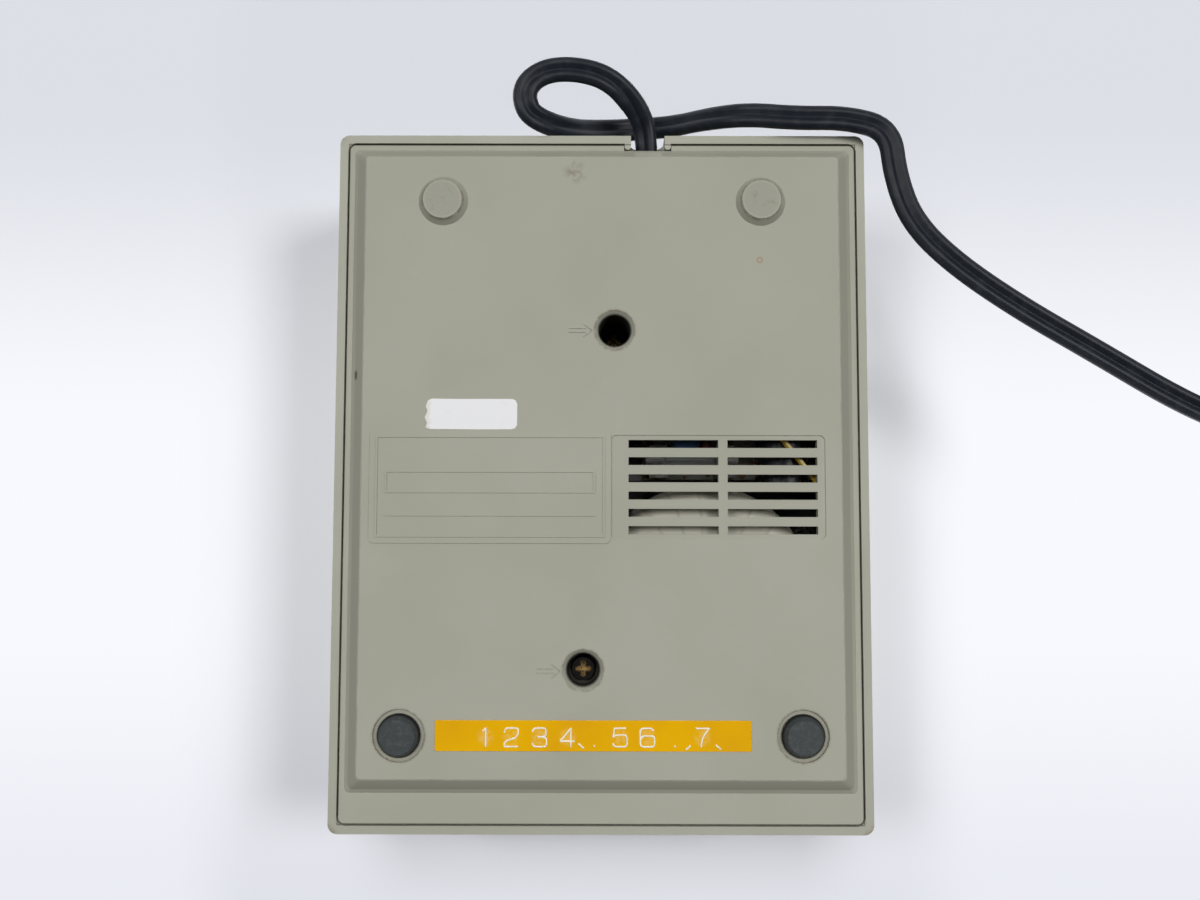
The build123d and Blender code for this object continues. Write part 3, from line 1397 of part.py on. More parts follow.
def two_arcs(start, end):
    """Two arcs that join smoothly, from one place and direction to the next."""
    start_point, start_way = start
    end_point, end_way = end
    across = end_point - start_point
    spare = 2 * (1 - start_way.dot(end_way))
    along = across.dot(start_way + end_way)
    reach = (sqrt(along * along + spare * across.dot(across)) - along) / spare
    first = start_point + start_way * reach
    second = end_point - end_way * reach
    middle = (first + second) * 0.5
    TangentArc(start_point, middle, tangent=start_way)
    TangentArc(middle, end_point, tangent=second - first)


def report_tube(name, path, volume):
    """Print a tube's length, its least air to itself, and its volume beside section times length."""
    count = int(path.length / 2)
    points = [tuple(path.position_at(step / count)) for step in range(count + 1)]
    apart = int(3 * cord_diameter / 2)
    nearest = min(dist(points[here], points[there])
                  for here in range(count + 1) for there in range(here + apart, count + 1))
    print(name, "length", round(path.length, 1), "least gap", round(nearest - cord_diameter, 2))
    print(name, "volume", round(volume), "section times length", round(section_area * path.length))


coil_places = [coil_place(quarter / 4 - coil_turns) for quarter in range(int(8 * coil_turns) + 1)]
coil_places += [tail_place(step) for step in range(1, tail_steps + 1)]
coil_entry, coil_entry_way = coil_places[0]
coil_exit, coil_exit_way = coil_places[-1]
section_area = cord_sides / 2 * cord_radius ** 2 * sin(2 * pi / cord_sides)
with BuildPart() as cord_coil:
    with BuildLine() as coil_line:
        Line(coil_entry - coil_entry_way * cord_diameter, coil_entry)
        for here, there in zip(coil_places, coil_places[1:]):
            two_arcs(here, there)
        Line(coil_exit, coil_exit + coil_exit_way * cord_diameter)
    with BuildSketch(Plane(origin=coil_line.line @ 0, z_dir=coil_entry_way)):
        RegularPolygon(cord_radius, cord_sides)
    sweep()
save(cord_coil, "cord_coil")
report_tube("coil", coil_line.wire(), cord_coil.part.volume)

# The cord from its clamp, round a tight loop behind the box, to the coil beside it
lead_in = coil_entry - coil_entry_way * cord_diameter
cord_route = [(cord_exit_x, clamp_face + 0.1, cord_exit_z), (-9.7, 76.5, 9.2), (-4.5, 84.0, 4.6),
              (4.5, 89.6, 2.8), (13.2, 90.4, 2.6), (17.0, 84.9, 2.6), (14.4, 78.9, 3.4),
              (7.0, 78.6, 7.6), (-2.0, 80.2, 17.6), (-14.5, 80.4, 17.6), (-29.5, 80.6, 9.4),
              (-44.0, 81.2, 3.4), (-57.5, 81.0, 2.6), (-66.5, 73.0, 2.6), (-68.0, 60.0, 2.6),
              (-76.5, 46.5, 2.6), (-89.5, 35.5, 2.6), (-104.0, 26.5, 2.6), (-120.5, 17.8, 2.6),
              tuple(lead_in - coil_entry_way * cord_lead_in), tuple(lead_in)]
cord_radii = bend_radii(cord_route)
print("cord bend radii", [round(radius, 1) for radius in cord_radii])
with BuildPart() as power_cord:
    with BuildLine() as cord_line:
        FilletPolyline(*cord_route, radius=cord_radii)
    with BuildSketch(Plane(origin=cord_line.line @ 0, z_dir=cord_line.line % 0)):
        RegularPolygon(cord_radius, cord_sides)
    sweep()
save(power_cord, "power_cord")
report_tube("cord", cord_line.wire(), power_cord.part.volume)

# A tie round all the turns, on the side away from the plug
with BuildPart() as cord_tie:
    tie_inner = coil_inner_radius - cord_radius - tie_thickness - tie_gap
    tie_outer = coil_outer_radius + cord_radius + tie_gap
    tie_length, tie_middle = spread(tie_inner, tie_outer)
    tie_height = upper_layer + cord_radius + tie_slack + tie_thickness
    with BuildSketch(Plane.XZ.offset(-coil_y)):
        with Locations((coil_x - tie_middle, tie_height / 2)):
            RectangleRounded(tie_length, tie_height, tie_corner)
            RectangleRounded(tie_length - 2 * tie_thickness, tie_height - 2 * tie_thickness,
                             tie_corner - tie_thickness, mode=Mode.SUBTRACT)
    extrude(amount=tie_width / 2, both=True)
save(cord_tie, "cord_tie")

# Plug: a moulded body with two flat blades, resting on top of the coil
plug_start = coil_exit + coil_exit_way * cord_diameter
plug_side = coil_exit_way.cross(Vector(0, 0, 1))
plug_plane = Plane(origin=plug_start, x_dir=plug_side, z_dir=coil_exit_way)
with BuildPart() as plug_body:
    with BuildSketch(plug_plane):
        Circle(plug_neck_radius)
    with BuildSketch(plug_plane.offset(plug_shoulder)):
        RectangleRounded(plug_width, plug_thickness, plug_corner)
    loft()
    with BuildSketch(plug_plane.offset(plug_shoulder)):
        RectangleRounded(plug_width, plug_thickness, plug_corner)
    extrude(amount=plug_length - plug_shoulder)
save(plug_body, "plug_body")

with BuildPart() as plug_blades:
    with BuildSketch(plug_plane.offset(plug_length)):
        with GridLocations(blade_spacing, 1, 2, 1):
            Rectangle(blade_thickness, blade_width)
    extrude(amount=blade_length)
    hole_centre = plug_start + coil_exit_way * (plug_length + blade_length - 2 * blade_hole_radius)
    with BuildSketch(Plane(origin=hole_centre, x_dir=coil_exit_way, z_dir=plug_side)):
        Circle(blade_hole_radius)
    extrude(amount=blade_spacing, both=True, mode=Mode.SUBTRACT)
save(plug_blades, "plug_blades")
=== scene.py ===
import math

import bmesh
import bpy
from mathutils import Matrix, Vector


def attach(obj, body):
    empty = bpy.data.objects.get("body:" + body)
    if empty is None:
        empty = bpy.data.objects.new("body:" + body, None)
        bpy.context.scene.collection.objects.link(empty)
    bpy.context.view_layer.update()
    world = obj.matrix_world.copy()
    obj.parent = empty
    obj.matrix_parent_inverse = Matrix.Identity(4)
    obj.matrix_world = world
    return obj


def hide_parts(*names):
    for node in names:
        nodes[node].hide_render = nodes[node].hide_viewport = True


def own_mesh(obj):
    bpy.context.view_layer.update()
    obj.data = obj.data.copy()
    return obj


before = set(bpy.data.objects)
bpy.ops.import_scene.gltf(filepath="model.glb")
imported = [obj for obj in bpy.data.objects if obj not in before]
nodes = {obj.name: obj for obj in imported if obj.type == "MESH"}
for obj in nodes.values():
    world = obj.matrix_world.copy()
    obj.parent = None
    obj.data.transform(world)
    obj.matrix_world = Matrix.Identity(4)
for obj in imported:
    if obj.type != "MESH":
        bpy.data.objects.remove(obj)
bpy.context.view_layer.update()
mm = 0.001
print("frame loaded,", len(nodes), "pieces")


# camera: the photo looks straight at the underside, so it stands below the box

cameraSetup = {
    "place": (0.000112, -0.007193, -0.198750),
    "right": (-0.9999978, 0.0019065, 0.0008651),
    "up": (0.0018477, 0.9979778, -0.0635359),
    "back": (-0.0009845, -0.0635342, -0.9979792),
    "sensor": 36.0,
    "lens": 29.1,
    "clip": (0.005, 20),
}


def addObject(name, data):
    thing = bpy.data.objects.new(name, data)
    bpy.context.scene.collection.objects.link(thing)
    return thing


def makeCamera(setup):
    data = bpy.data.cameras.new("underside_camera")
    data.sensor_width = setup["sensor"]
    data.lens = setup["lens"]
    data.clip_start, data.clip_end = setup["clip"]
    camera = addObject("underside_camera", data)
    turn = Matrix((setup["right"], setup["up"], setup["back"])).transposed()
    camera.matrix_world = Matrix.Translation(setup["place"]) @ turn.to_4x4()
    bpy.context.scene.camera = camera


makeCamera(cameraSetup)
bpy.context.scene.view_settings.view_transform = "Standard"
print("camera in place")


# shader maths: a tap is one output in a node tree, and sums of taps add Math nodes

class Tap:
    def __init__(self, tree, socket=None):
        self.tree = tree
        self.socket = socket

    def node(self, kind, settings, sockets, out=0):
        made = self.tree.nodes.new(kind)
        for key, value in settings.items():
            setattr(made, key, value)
        for key, value in sockets.items():
            self.feed(made.inputs[key], value)
        return Tap(self.tree, made.outputs[out]) if made.outputs else None

    def feed(self, socket, value):
        if isinstance(value, Tap):
            self.tree.links.new(value.socket, socket)
        elif socket.type == "RGBA" and len(value) == 3:
            socket.default_value = (*value, 1)
        else:
            socket.default_value = value

    def math(self, operation, *values):
        return self.node("ShaderNodeMath", {"operation": operation}, dict(enumerate(values)))

    def __add__(self, other):
        return self.math("ADD", self, other)

    def __radd__(self, other):
        return self.math("ADD", other, self)

    def __sub__(self, other):
        return self.math("SUBTRACT", self, other)

    def __rsub__(self, other):
        return self.math("SUBTRACT", other, self)

    def __mul__(self, other):
        return self.math("MULTIPLY", self, other)

    def __rmul__(self, other):
        return self.math("MULTIPLY", other, self)

    def __abs__(self):
        return self.math("ABSOLUTE", self)

    def least(self, other):
        return self.math("MINIMUM", self, other)

    def most(self, other):
        return self.math("MAXIMUM", self, other)

    def above(self, low, high):
        # 0 below low, 1 above high, smooth between
        return self.node("ShaderNodeMapRange", {"interpolation_type": "SMOOTHSTEP"},
                         {"Value": self, "From Min": low, "From Max": high}, "Result")

    def below(self, low, high):
        return 1 - self.above(low, high)

    def near(self, reach, end):
        # 1 around zero as far as reach on both sides, 0 past end
        return 1 - abs(self).above(reach, end)

    def tint(self, first, second):
        # the first colour where this is 0, the second where it is 1
        return self.node("ShaderNodeMix", {"data_type": "RGBA"}, {0: self, 6: first, 7: second}, 2)


def newMaterial(name):
    material = bpy.data.materials.new(name)
    material.use_nodes = True
    material.node_tree.nodes.clear()
    return material, Tap(material.node_tree)


def placeOn(tap, stretch=(1, 1, 1)):
    # the point on the piece, in millimetres of the shared frame
    spot = tap.node("ShaderNodeTexCoord", {}, {}, "Object")
    size = tuple(s / mm for s in stretch)
    return spot.node("ShaderNodeVectorMath", {"operation": "MULTIPLY"}, {0: spot, 1: size})


def axesOf(place, wanted="XYZ"):
    return [place.node("ShaderNodeSeparateXYZ", {}, {0: place}, axis) for axis in wanted]


def noise(place, scale, detail=2, roughness=0.5):
    return place.node("ShaderNodeTexNoise", {}, {"Vector": place, "Scale": scale, "Detail": detail,
                                                 "Roughness": roughness}, "Fac")


def patches(place, scale, detail, start, full, roughness=0.5):
    # noise cut to soft patches: none below start, full above full
    return noise(place, scale, detail, roughness).above(start, full)


def away(x, y, spot):
    # distance from a spot in plan
    across, along = x - spot[0], y - spot[1]
    return across.math("SQRT", across * across + along * along)


def paint(tap, colour, roughness, height, depth, **fixed):
    # height over the surface, from 0 to 1, and how many millimetres that is
    normal = tap.node("ShaderNodeBump", {}, {"Height": height, "Distance": depth * mm}, "Normal")
    sockets = {"Base Color": colour, "Roughness": roughness, "Normal": normal}
    sockets.update({key.replace("_", " "): value for key, value in fixed.items()})
    shader = tap.node("ShaderNodeBsdfPrincipled", {}, sockets)
    tap.node("ShaderNodeOutputMaterial", {}, {"Surface": shader})


def dress(material, *names):
    for name in names:
        nodes[name].data.materials.clear()
        nodes[name].data.materials.append(material)


def smoothFaces(data, degrees):
    # smooth faces with sharp edges where they meet at more than so many degrees
    for polygon in data.polygons:
        polygon.use_smooth = True
    data.set_sharp_from_angle(angle=math.radians(degrees))


# cord: flat twin flex on one spline, from the clamp round its loop to the coil and the plug

cordShape = {
    "width": 5.2,
    "thickness": 2.6,
    "web": 0.55,
    "sides": 9,
    "smoothness": 8,
    "sharpFrom": 48,
    "route": [
        (-9.8, 66.5, 9.4), (-9.9, 75.2, 9.3), (-7.7, 80.0, 6.4), (-1.9, 84.7, 2.2), (5.2, 86.6, 1.45),
        (12.3, 86.2, 1.45), (16.6, 82.6, 1.45), (16.0, 77.6, 1.8), (12.4, 75.7, 3.4), (7.0, 75.7, 7.6),
        (0.5, 78.4, 15.0), (-8.6, 79.9, 17.6), (-16.0, 79.7, 15.4), (-23.0, 78.6, 8.4), (-31.0, 77.2, 2.6),
        (-41.0, 75.9, 1.45), (-52.0, 76.0, 1.45), (-60.8, 73.4, 1.45), (-61.8, 63.2, 1.45),
        (-65.2, 53.6, 1.45), (-73.6, 45.0, 1.45), (-87.0, 35.6, 1.45), (-103.0, 26.2, 1.45),
        (-120.5, 15.6, 1.45), (-133.5, 10.4, 1.8), (-146.0, 6.4, 2.8), (-153.0, 3.1, 3.3),
    ],
    "coilMiddle": (-182.0, 30.3, 0),
    "coilStart": -60.0,
    "coilTurns": 3.25,
    "coilInner": 19.2,
    "coilPitch": 5.7,
    "coilLayers": (3.4, 9.1),
    "climbTurns": 0.5,  # turns in which the coil climbs to its upper layer
    "pointsPerTurn": 16,
    "riseTurns": 0.25,  # last part of the coil, in which it starts to rise to the plug
    "tailRadius": 26.0,
    "tailTurn": 100.0,
    "tailSteps": 5,
    "plugHeight": 18.5,
    "leadOut": 5.2,
    "rolls": [(0, 42), (12, 34), (22, 8), (60, 0), (88, 12), (106, 0), (235, 0), (262, 90), (2000, 90)],
}


def ease(part):
    return (3 - 2 * part) * part ** 2


def onCircle(middle, radius, angle, height):
    return middle + Vector((math.cos(angle) * radius, math.sin(angle) * radius, height))


def coilPoints(cord):
    # spiral in on the floor, climb one layer, spiral out on top, then turn in towards the plug
    turns, inner, pitch, perTurn = (cord[key] for key in ("coilTurns", "coilInner", "coilPitch",
                                                          "pointsPerTurn"))
    lower, upper = cord["coilLayers"]
    middle, tailRadius = Vector(cord["coilMiddle"]), cord["tailRadius"]
    startAngle, tailAngle = math.radians(cord["coilStart"]), math.radians(cord["tailTurn"])
    outer = inner + pitch * turns
    outward = 1 / math.cos(math.pi / perTurn)  # control points lie outside the line that they give
    riseRun = 2 * math.pi * outer * cord["riseTurns"]
    wholeRise = riseRun + tailRadius * tailAngle
    points = []
    for step in range(round(2 * turns * perTurn) + 1):
        turn = step / perTurn - turns
        part = min(max(turn / cord["climbTurns"] + 0.5, 0), 1)
        rise = max(0, 1 - (turns - turn) / cord["riseTurns"]) * riseRun / wholeRise
        height = lower + (upper - lower) * ease(part) + (cord["plugHeight"] - upper) * ease(rise)
        points.append(onCircle(middle, (inner + pitch * abs(turn)) * outward,
                               startAngle - 2 * math.pi * (turn + turns), height))
    endAngle = startAngle - 4 * math.pi * turns
    centre = onCircle(middle, outer - tailRadius, endAngle, 0)
    for step in range(1, cord["tailSteps"] + 1):
        turned = tailAngle * step / cord["tailSteps"]
        height = upper + (cord["plugHeight"] - upper) * ease((riseRun + tailRadius * turned) / wholeRise)
        radius = tailRadius * (outward if step < cord["tailSteps"] else 1)
        points.append(onCircle(centre, radius, endAngle - turned, height))
    lastAngle = endAngle - tailAngle
    onward = Vector((math.sin(lastAngle), -math.cos(lastAngle), 0))
    return points + [points[-1] + onward * cord["leadOut"]]


def splineMesh(name, runs, smoothness, thickness=0):
    # smooth lines along runs of control points in millimetres, or round wires if they have thickness
    curve = bpy.data.curves.new(name, "CURVE")
    curve.dimensions = "3D"
    curve.resolution_u = smoothness
    if thickness:
        curve.bevel_depth = thickness * mm
        curve.bevel_resolution = 2
        curve.use_fill_caps = True
    for run in runs:
        spline = curve.splines.new("NURBS")
        spline.points.add(len(run) - 1)
        for point, place in zip(spline.points, run):
            point.co = (*(Vector(place) * mm), 1)
        spline.order_u = 3
        spline.use_endpoint_u = True
    holder = addObject(name + "_line", curve)
    bpy.context.view_layer.update()
    mesh = bpy.data.meshes.new_from_object(holder)
    bpy.data.objects.remove(holder)
    return mesh


def twinSection(cord):
    # outline of two round cores joined by a web, wide along the first value
    core = cord["thickness"] / 2
    arm = cord["width"] / 2 - core
    start = math.asin(cord["web"] / core)
    angles = [-math.pi + start + (2 * math.pi - 2 * start) * i / (cord["sides"] - 1)
              for i in range(cord["sides"])]
    right = [(arm + core * math.cos(angle), core * math.sin(angle)) for angle in angles]
    return right + [(-u, -v) for u, v in right]


def between(stops, where):
    # value at a distance along, from a list of (distance, value)
    for (low, first), (high, second) in zip(stops, stops[1:]):
        if where <= high:
            return first + (second - first) * ease((where - low) / (high - low))
    return stops[-1][1]


def sweepSection(name, line, section, rolls):
    # carries the section along the line, rolled by so many degrees
    mesh = bmesh.new()
    rings = []
    walked = 0
    for index, here in enumerate(line):
        before, after = line[max(index - 1, 0)], line[min(index + 1, len(line) - 1)]
        walked += (here - before).length / mm
        onward = (after - before).normalized()
        side = onward.cross(Vector((0, 0, 1))).normalized()
        lift = side.cross(onward)
        roll = math.radians(between(rolls, walked))
        wide = side * math.cos(roll) + lift * math.sin(roll)
        thin = lift * math.cos(roll) - side * math.sin(roll)
        rings.append([mesh.verts.new(here + (wide * u + thin * v) * mm) for u, v in section])
    for first, second in zip(rings, rings[1:]):
        wallBetween(mesh, first, second)
    mesh.faces.new(rings[0][::-1])
    mesh.faces.new(rings[-1])
    bmesh.ops.recalc_face_normals(mesh, faces=mesh.faces)
    return meshPiece(name, mesh)


def wallBetween(mesh, first, second):
    for i in range(len(first)):
        j = (i + 1) % len(first)
        mesh.faces.new((first[i], first[j], second[j], second[i]))


def meshPiece(name, mesh, smooth=True):
    data = bpy.data.meshes.new(name)
    mesh.to_mesh(data)
    mesh.free()
    for polygon in data.polygons:
        polygon.use_smooth = smooth
    return addObject(name, data)


wireShape = {
    "weld": 0.001,
    "sharpFrom": 60,
}


def wirePiece(name, runs, thickness, smoothness, material):
    # closed round wire along each run of points
    mesh = bmesh.new()
    mesh.from_mesh(splineMesh(name, runs, smoothness, thickness))
    bmesh.ops.remove_doubles(mesh, verts=mesh.verts, dist=wireShape["weld"] * mm)
    bmesh.ops.recalc_face_normals(mesh, faces=mesh.faces)
    piece = meshPiece(name, mesh)
    piece.data.materials.append(material)
    smoothFaces(piece.data, wireShape["sharpFrom"])
    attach(piece, "box")
    return piece


cordPoints = [Vector(place) for place in cordShape["route"]] + coilPoints(cordShape)
cordLine = [vertex.co.copy()
            for vertex in splineMesh("cord", [cordPoints], cordShape["smoothness"]).vertices]
cordPiece = sweepSection("flat_twin_cord", cordLine, twinSection(cordShape), cordShape["rolls"])
smoothFaces(cordPiece.data, cordShape["sharpFrom"])
cordLength = sum((there - here).length for here, there in zip(cordLine, cordLine[1:]))
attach(cordPiece, "box")
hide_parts("power_cord", "cord_coil")
print("cord laid, length", round(cordLength, 4))


# stage: a floor seen from above, a table behind the box seen from below, soft lamps on both sides

stageSetup = {
    "floorColour": (0.80, 0.81, 0.84),
    "floorCloud": 0.012,
    "floorShade": 0.985,
    "floorDrop": 0.00008,
    "floorSize": 8.0,
    "glowFrom": (350, 1100),
    # painted contact shadow: the box's footprint, how softly it fades, its colour and share
    "footprint": (54.5, 71.5),
    "footprintSoft": (-2, 7),
    "contactShadowColour": (0.05, 0.05, 0.05),
    "contactShadowShare": 0.92,
    # the table's tone, with painted shade towards the rear and the front
    "tableShadedRear": (0.72, 0.74, 0.79),
    "tableMiddle": (0.94, 0.95, 1.0),
    "tableShadedFront": (0.83, 0.84, 0.90),
    "rearFrom": (10, 105),
    "frontFrom": (-30, -110),
    "evenRight": (72, 98),
    "evenLeft": (86, 110),
    "tableSize": (0.50, 0.40),
    "tableSpot": (-0.02, 0.02),
    "tableHeight": 0.0528,
    "pale": (0.93, 0.94, 0.97),
    "ambient": (0.97, 0.98, 1.0),
    "ambientLevel": 0.16,
}
lamps = [  # name, place, aim, size, watts
    ("lower_key_softbox", (0.05, 0.72, -1.65), (0, 0, 0), 0.60, 10.5),
    ("lower_left_softbox", (0.88, 0.34, -1.45), (0, 0, 0), 0.45, 8.0),
    ("lower_right_softbox", (-0.88, 0.26, -1.45), (0, 0, 0), 0.45, 11.0),
    ("upper_key_softbox", (-0.90, -1.20, 1.70), (0, 0, 0.02), 0.90, 27.0),
    ("upper_fill_softbox", (1.40, 0.70, 1.40), (0, 0, 0.02), 1.20, 17.0),
]


def shownRays(tap):
    # 1 for what the camera sees, also by reflection or through glass, and 0 for the light itself
    camera, glossy, through = (tap.node("ShaderNodeLightPath", {}, {}, f"Is {kind} Ray")
                               for kind in ("Camera", "Glossy", "Transmission"))
    return camera.most(glossy).most(through)


def stagePlane(name, width, depth, middle, height, faceUp, paintIt):
    mesh = bmesh.new()
    corners = [(-1, -1), (1, -1), (1, 1), (-1, 1)]
    if not faceUp:
        corners.reverse()
    mesh.faces.new([mesh.verts.new((middle[0] + u * width / 2, middle[1] + v * depth / 2, height))
                    for u, v in corners])
    plane = meshPiece(name, mesh, smooth=False)
    material, tap = newMaterial(name)
    front = 1 - tap.node("ShaderNodeNewGeometry", {}, {}, "Backfacing")
    clear = tap.node("ShaderNodeBsdfTransparent", {}, {})
    mixed = tap.node("ShaderNodeMixShader", {}, {0: shownRays(tap) * front, 1: clear, 2: paintIt(tap)})
    tap.node("ShaderNodeOutputMaterial", {}, {"Surface": mixed})
    plane.data.materials.append(material)


def litOrEven(tap, even, litColour, evenColour):
    # takes light and shadow where even is 0, shines by itself where it is 1
    lit = tap.node("ShaderNodeBsdfDiffuse", {}, {"Color": litColour})
    glow = tap.node("ShaderNodeEmission", {}, {"Color": evenColour})
    return tap.node("ShaderNodeMixShader", {}, {0: even, 1: lit, 2: glow})


def floorPaint(tap):
    # a painted contact shadow, dark under the box and a few millimetres past its edge, and an even glow far
    # from it
    place = placeOn(tap)
    x, y = axesOf(place, "XY")
    colour, soft = stageSetup["floorColour"], stageSetup["footprintSoft"]
    shade = tuple(part * stageSetup["floorShade"] for part in colour)
    tone = noise(place, stageSetup["floorCloud"]).tint(shade, colour)
    halfX, halfY = stageSetup["footprint"]
    # painted contact shadow round where the box stands
    under = (abs(x) - halfX).below(*soft) * (abs(y) - halfY).below(*soft)
    tone = (under * stageSetup["contactShadowShare"]).tint(tone, stageSetup["contactShadowColour"])
    return litOrEven(tap, away(x, y, (0, 0)).above(*stageSetup["glowFrom"]), tone, stageSetup["pale"])


def tablePaint(tap):
    # takes the box's shadow near it, and goes over to an even glow to the left and right; its tone has
    # painted shade towards the rear and the front
    x, y = axesOf(placeOn(tap), "XY")
    # painted shade: darker towards the rear and the front
    tone = y.above(*stageSetup["rearFrom"]).tint(stageSetup["tableMiddle"], stageSetup["tableShadedRear"])
    tone = y.above(*stageSetup["frontFrom"]).tint(tone, stageSetup["tableShadedFront"])
    even = x.above(*stageSetup["evenLeft"]).most((0 - x).above(*stageSetup["evenRight"]))
    return litOrEven(tap, even, tone, tone)


def makeLamp(name, place, aim, size, watts):
    data = bpy.data.lights.new(name, "AREA")
    data.shape = "SQUARE"
    data.size = size
    data.energy = watts
    lamp = addObject(name, data)
    lamp.location = place
    lamp.rotation_mode = "QUATERNION"
    lamp.rotation_quaternion = (Vector(aim) - Vector(place)).to_track_quat("-Z", "Y")
    lamp.visible_camera = False


def makeWorld(setup):
    world = bpy.data.worlds.new("pale_room")
    bpy.context.scene.world = world
    world.use_nodes = True
    world.node_tree.nodes.clear()
    tap = Tap(world.node_tree)
    light = tap.node("ShaderNodeBackground", {}, {"Color": setup["ambient"],
                                                  "Strength": setup["ambientLevel"]})
    shown = tap.node("ShaderNodeBackground", {}, {"Color": setup["pale"], "Strength": 1})
    mixed = tap.node("ShaderNodeMixShader", {}, {0: shownRays(tap), 1: light, 2: shown})
    tap.node("ShaderNodeOutputWorld", {}, {"Surface": mixed})


stagePlane("floor", stageSetup["floorSize"], stageSetup["floorSize"], (0, 0),
           -stageSetup["floorDrop"], True, floorPaint)
stagePlane("table_behind", *stageSetup["tableSize"], stageSetup["tableSpot"], stageSetup["tableHeight"],
           False, tablePaint)
for lamp in lamps:
    makeLamp(*lamp)
makeWorld(stageSetup)
print("stage and lamps ready")


# housing plastic: warm grey beige with a fine moulded grain
# patches are given as scale, detail, start, full and, where it isn't 0.5, roughness

housingLook = {
    "colour": (0.376, 0.378, 0.312),
    "shade": (0.350, 0.350, 0.285),
    "dirt": (0.060, 0.045, 0.030),
    "brown": (0.150, 0.105, 0.070),
    "pale": (0.470, 0.465, 0.400),
    "cloud": (0.035, 3, 0.3, 0.7),
    "specks": (1.7, 2, 0.62, 0.80),
    "speckShare": 0.25,
    "roughness": 0.56,
    "roughSpread": 0.08,
    "specular": 0.28,
    "grainSize": 5.0,
    "grainDepth": 0.012,
    "fineDirt": (0.9, 4, 0.6),  # scale, detail, roughness
}


def housingBase(name):
    material, tap = newMaterial(name)
    place = placeOn(tap)
    cloud = patches(place, *housingLook["cloud"])
    colour = cloud.tint(housingLook["colour"], housingLook["shade"])
    specks = patches(place, *housingLook["specks"]) * housingLook["speckShare"]
    colour = specks.tint(colour, housingLook["shade"])
    rough = housingLook["roughness"] + (cloud - 0.5) * housingLook["roughSpread"]
    return material, tap, place, colour, rough


def paintHousing(tap, place, colour, rough):
    paint(tap, colour, rough, noise(place, housingLook["grainSize"]), housingLook["grainDepth"],
          Specular_IOR_Level=housingLook["specular"])


# bottom cover: painted shade on the bevels, the rear and inside the screw wells, a painted highlight along
# the plateau edge, dirt in the gap round it, and the old marks that the photo shows

coverLook = {
    "half": (53.95, 71.15),
    # painted shade: the rear of the cover is painted darker
    "shadedRear": {"colour": (0.318, 0.316, 0.255), "from": (-45, 85), "share": 0.7},
    # painted shade: the bevels are painted darker than the plateau, the front one darkest, and the cord notch
    # keeps the plain colour
    "bevel": {"colour": (0.300, 0.296, 0.240), "start": (1.75, 2.1), "end": (3.6, 3.95)},
    "frontBevelShade": {"colour": (0.185, 0.180, 0.140), "until": (-66.5, -62)},
    "notch": {"middle": -9.8, "half": (2.7, 2.9), "from": (60, 66)},
    # painted highlight: a pale line in patches along the plateau's edge
    "edgeHighlight": {"start": (1.60, 1.66), "end": (1.74, 1.95), "patches": (0.3, 3, 0.3, 0.6),
                 "inner": (45, 60), "soft": (0, 2), "share": 0.7},
    "rim": {"reach": (0.0, 0.22), "dirt": (0.1, 0.5), "share": 0.8},
    "plateau": (1.9, 2.2),
    "smudge": {"spot": (5.7, 64.3), "reach": (0.4, 3.4), "patches": (0.55, 2, 0.36, 0.66), "share": 0.6},
    "rustRing": {"spot": (-33.1, 45.5), "radius": 0.5, "line": (0.08, 0.30), "share": 0.55,
                 "colour": (0.300, 0.165, 0.070)},
    "nick": {"spot": (51.6, 21.3), "across": (0.15, 0.5), "along": (0.4, 1.3), "share": 0.9},
    "pads": [(33.35, 58.0), (-33.35, 58.0)],
    "padFace": {"colour": (0.292, 0.288, 0.235), "reach": (3.5, 3.9), "low": (0.15, 0.5), "share": 0.75},
    "padMoat": {"radius": 4.25, "line": (0.05, 0.35), "dirt": (0.35, 0.6), "share": 0.55},
    "padScuff": {"reach": (2.5, 4.0), "patches": (0.55, 4, 0.55, 0.72, 0.65), "share": 0.35},
    "feet": [(41.15, -52.7), (-41.15, -52.7)],
    "wells": [(3.69, -39.46), (-2.71, 30.65)],
    "halo": {"footRadius": 5.35, "wellRadius": 4.25, "line": (0.05, 0.45), "dirt": (0.3, 0.65),
             "share": 0.45},
    # painted shade: the walls inside the screw wells are painted near black
    "wellShade": {"colour": (0.014, 0.012, 0.010), "reach": (3.45, 3.75), "deep": (1.9, 2.6), "share": 0.93},
    "dust": {"patches": (0.25, 5, 0.60, 0.85, 0.7), "share": 0.2},
}


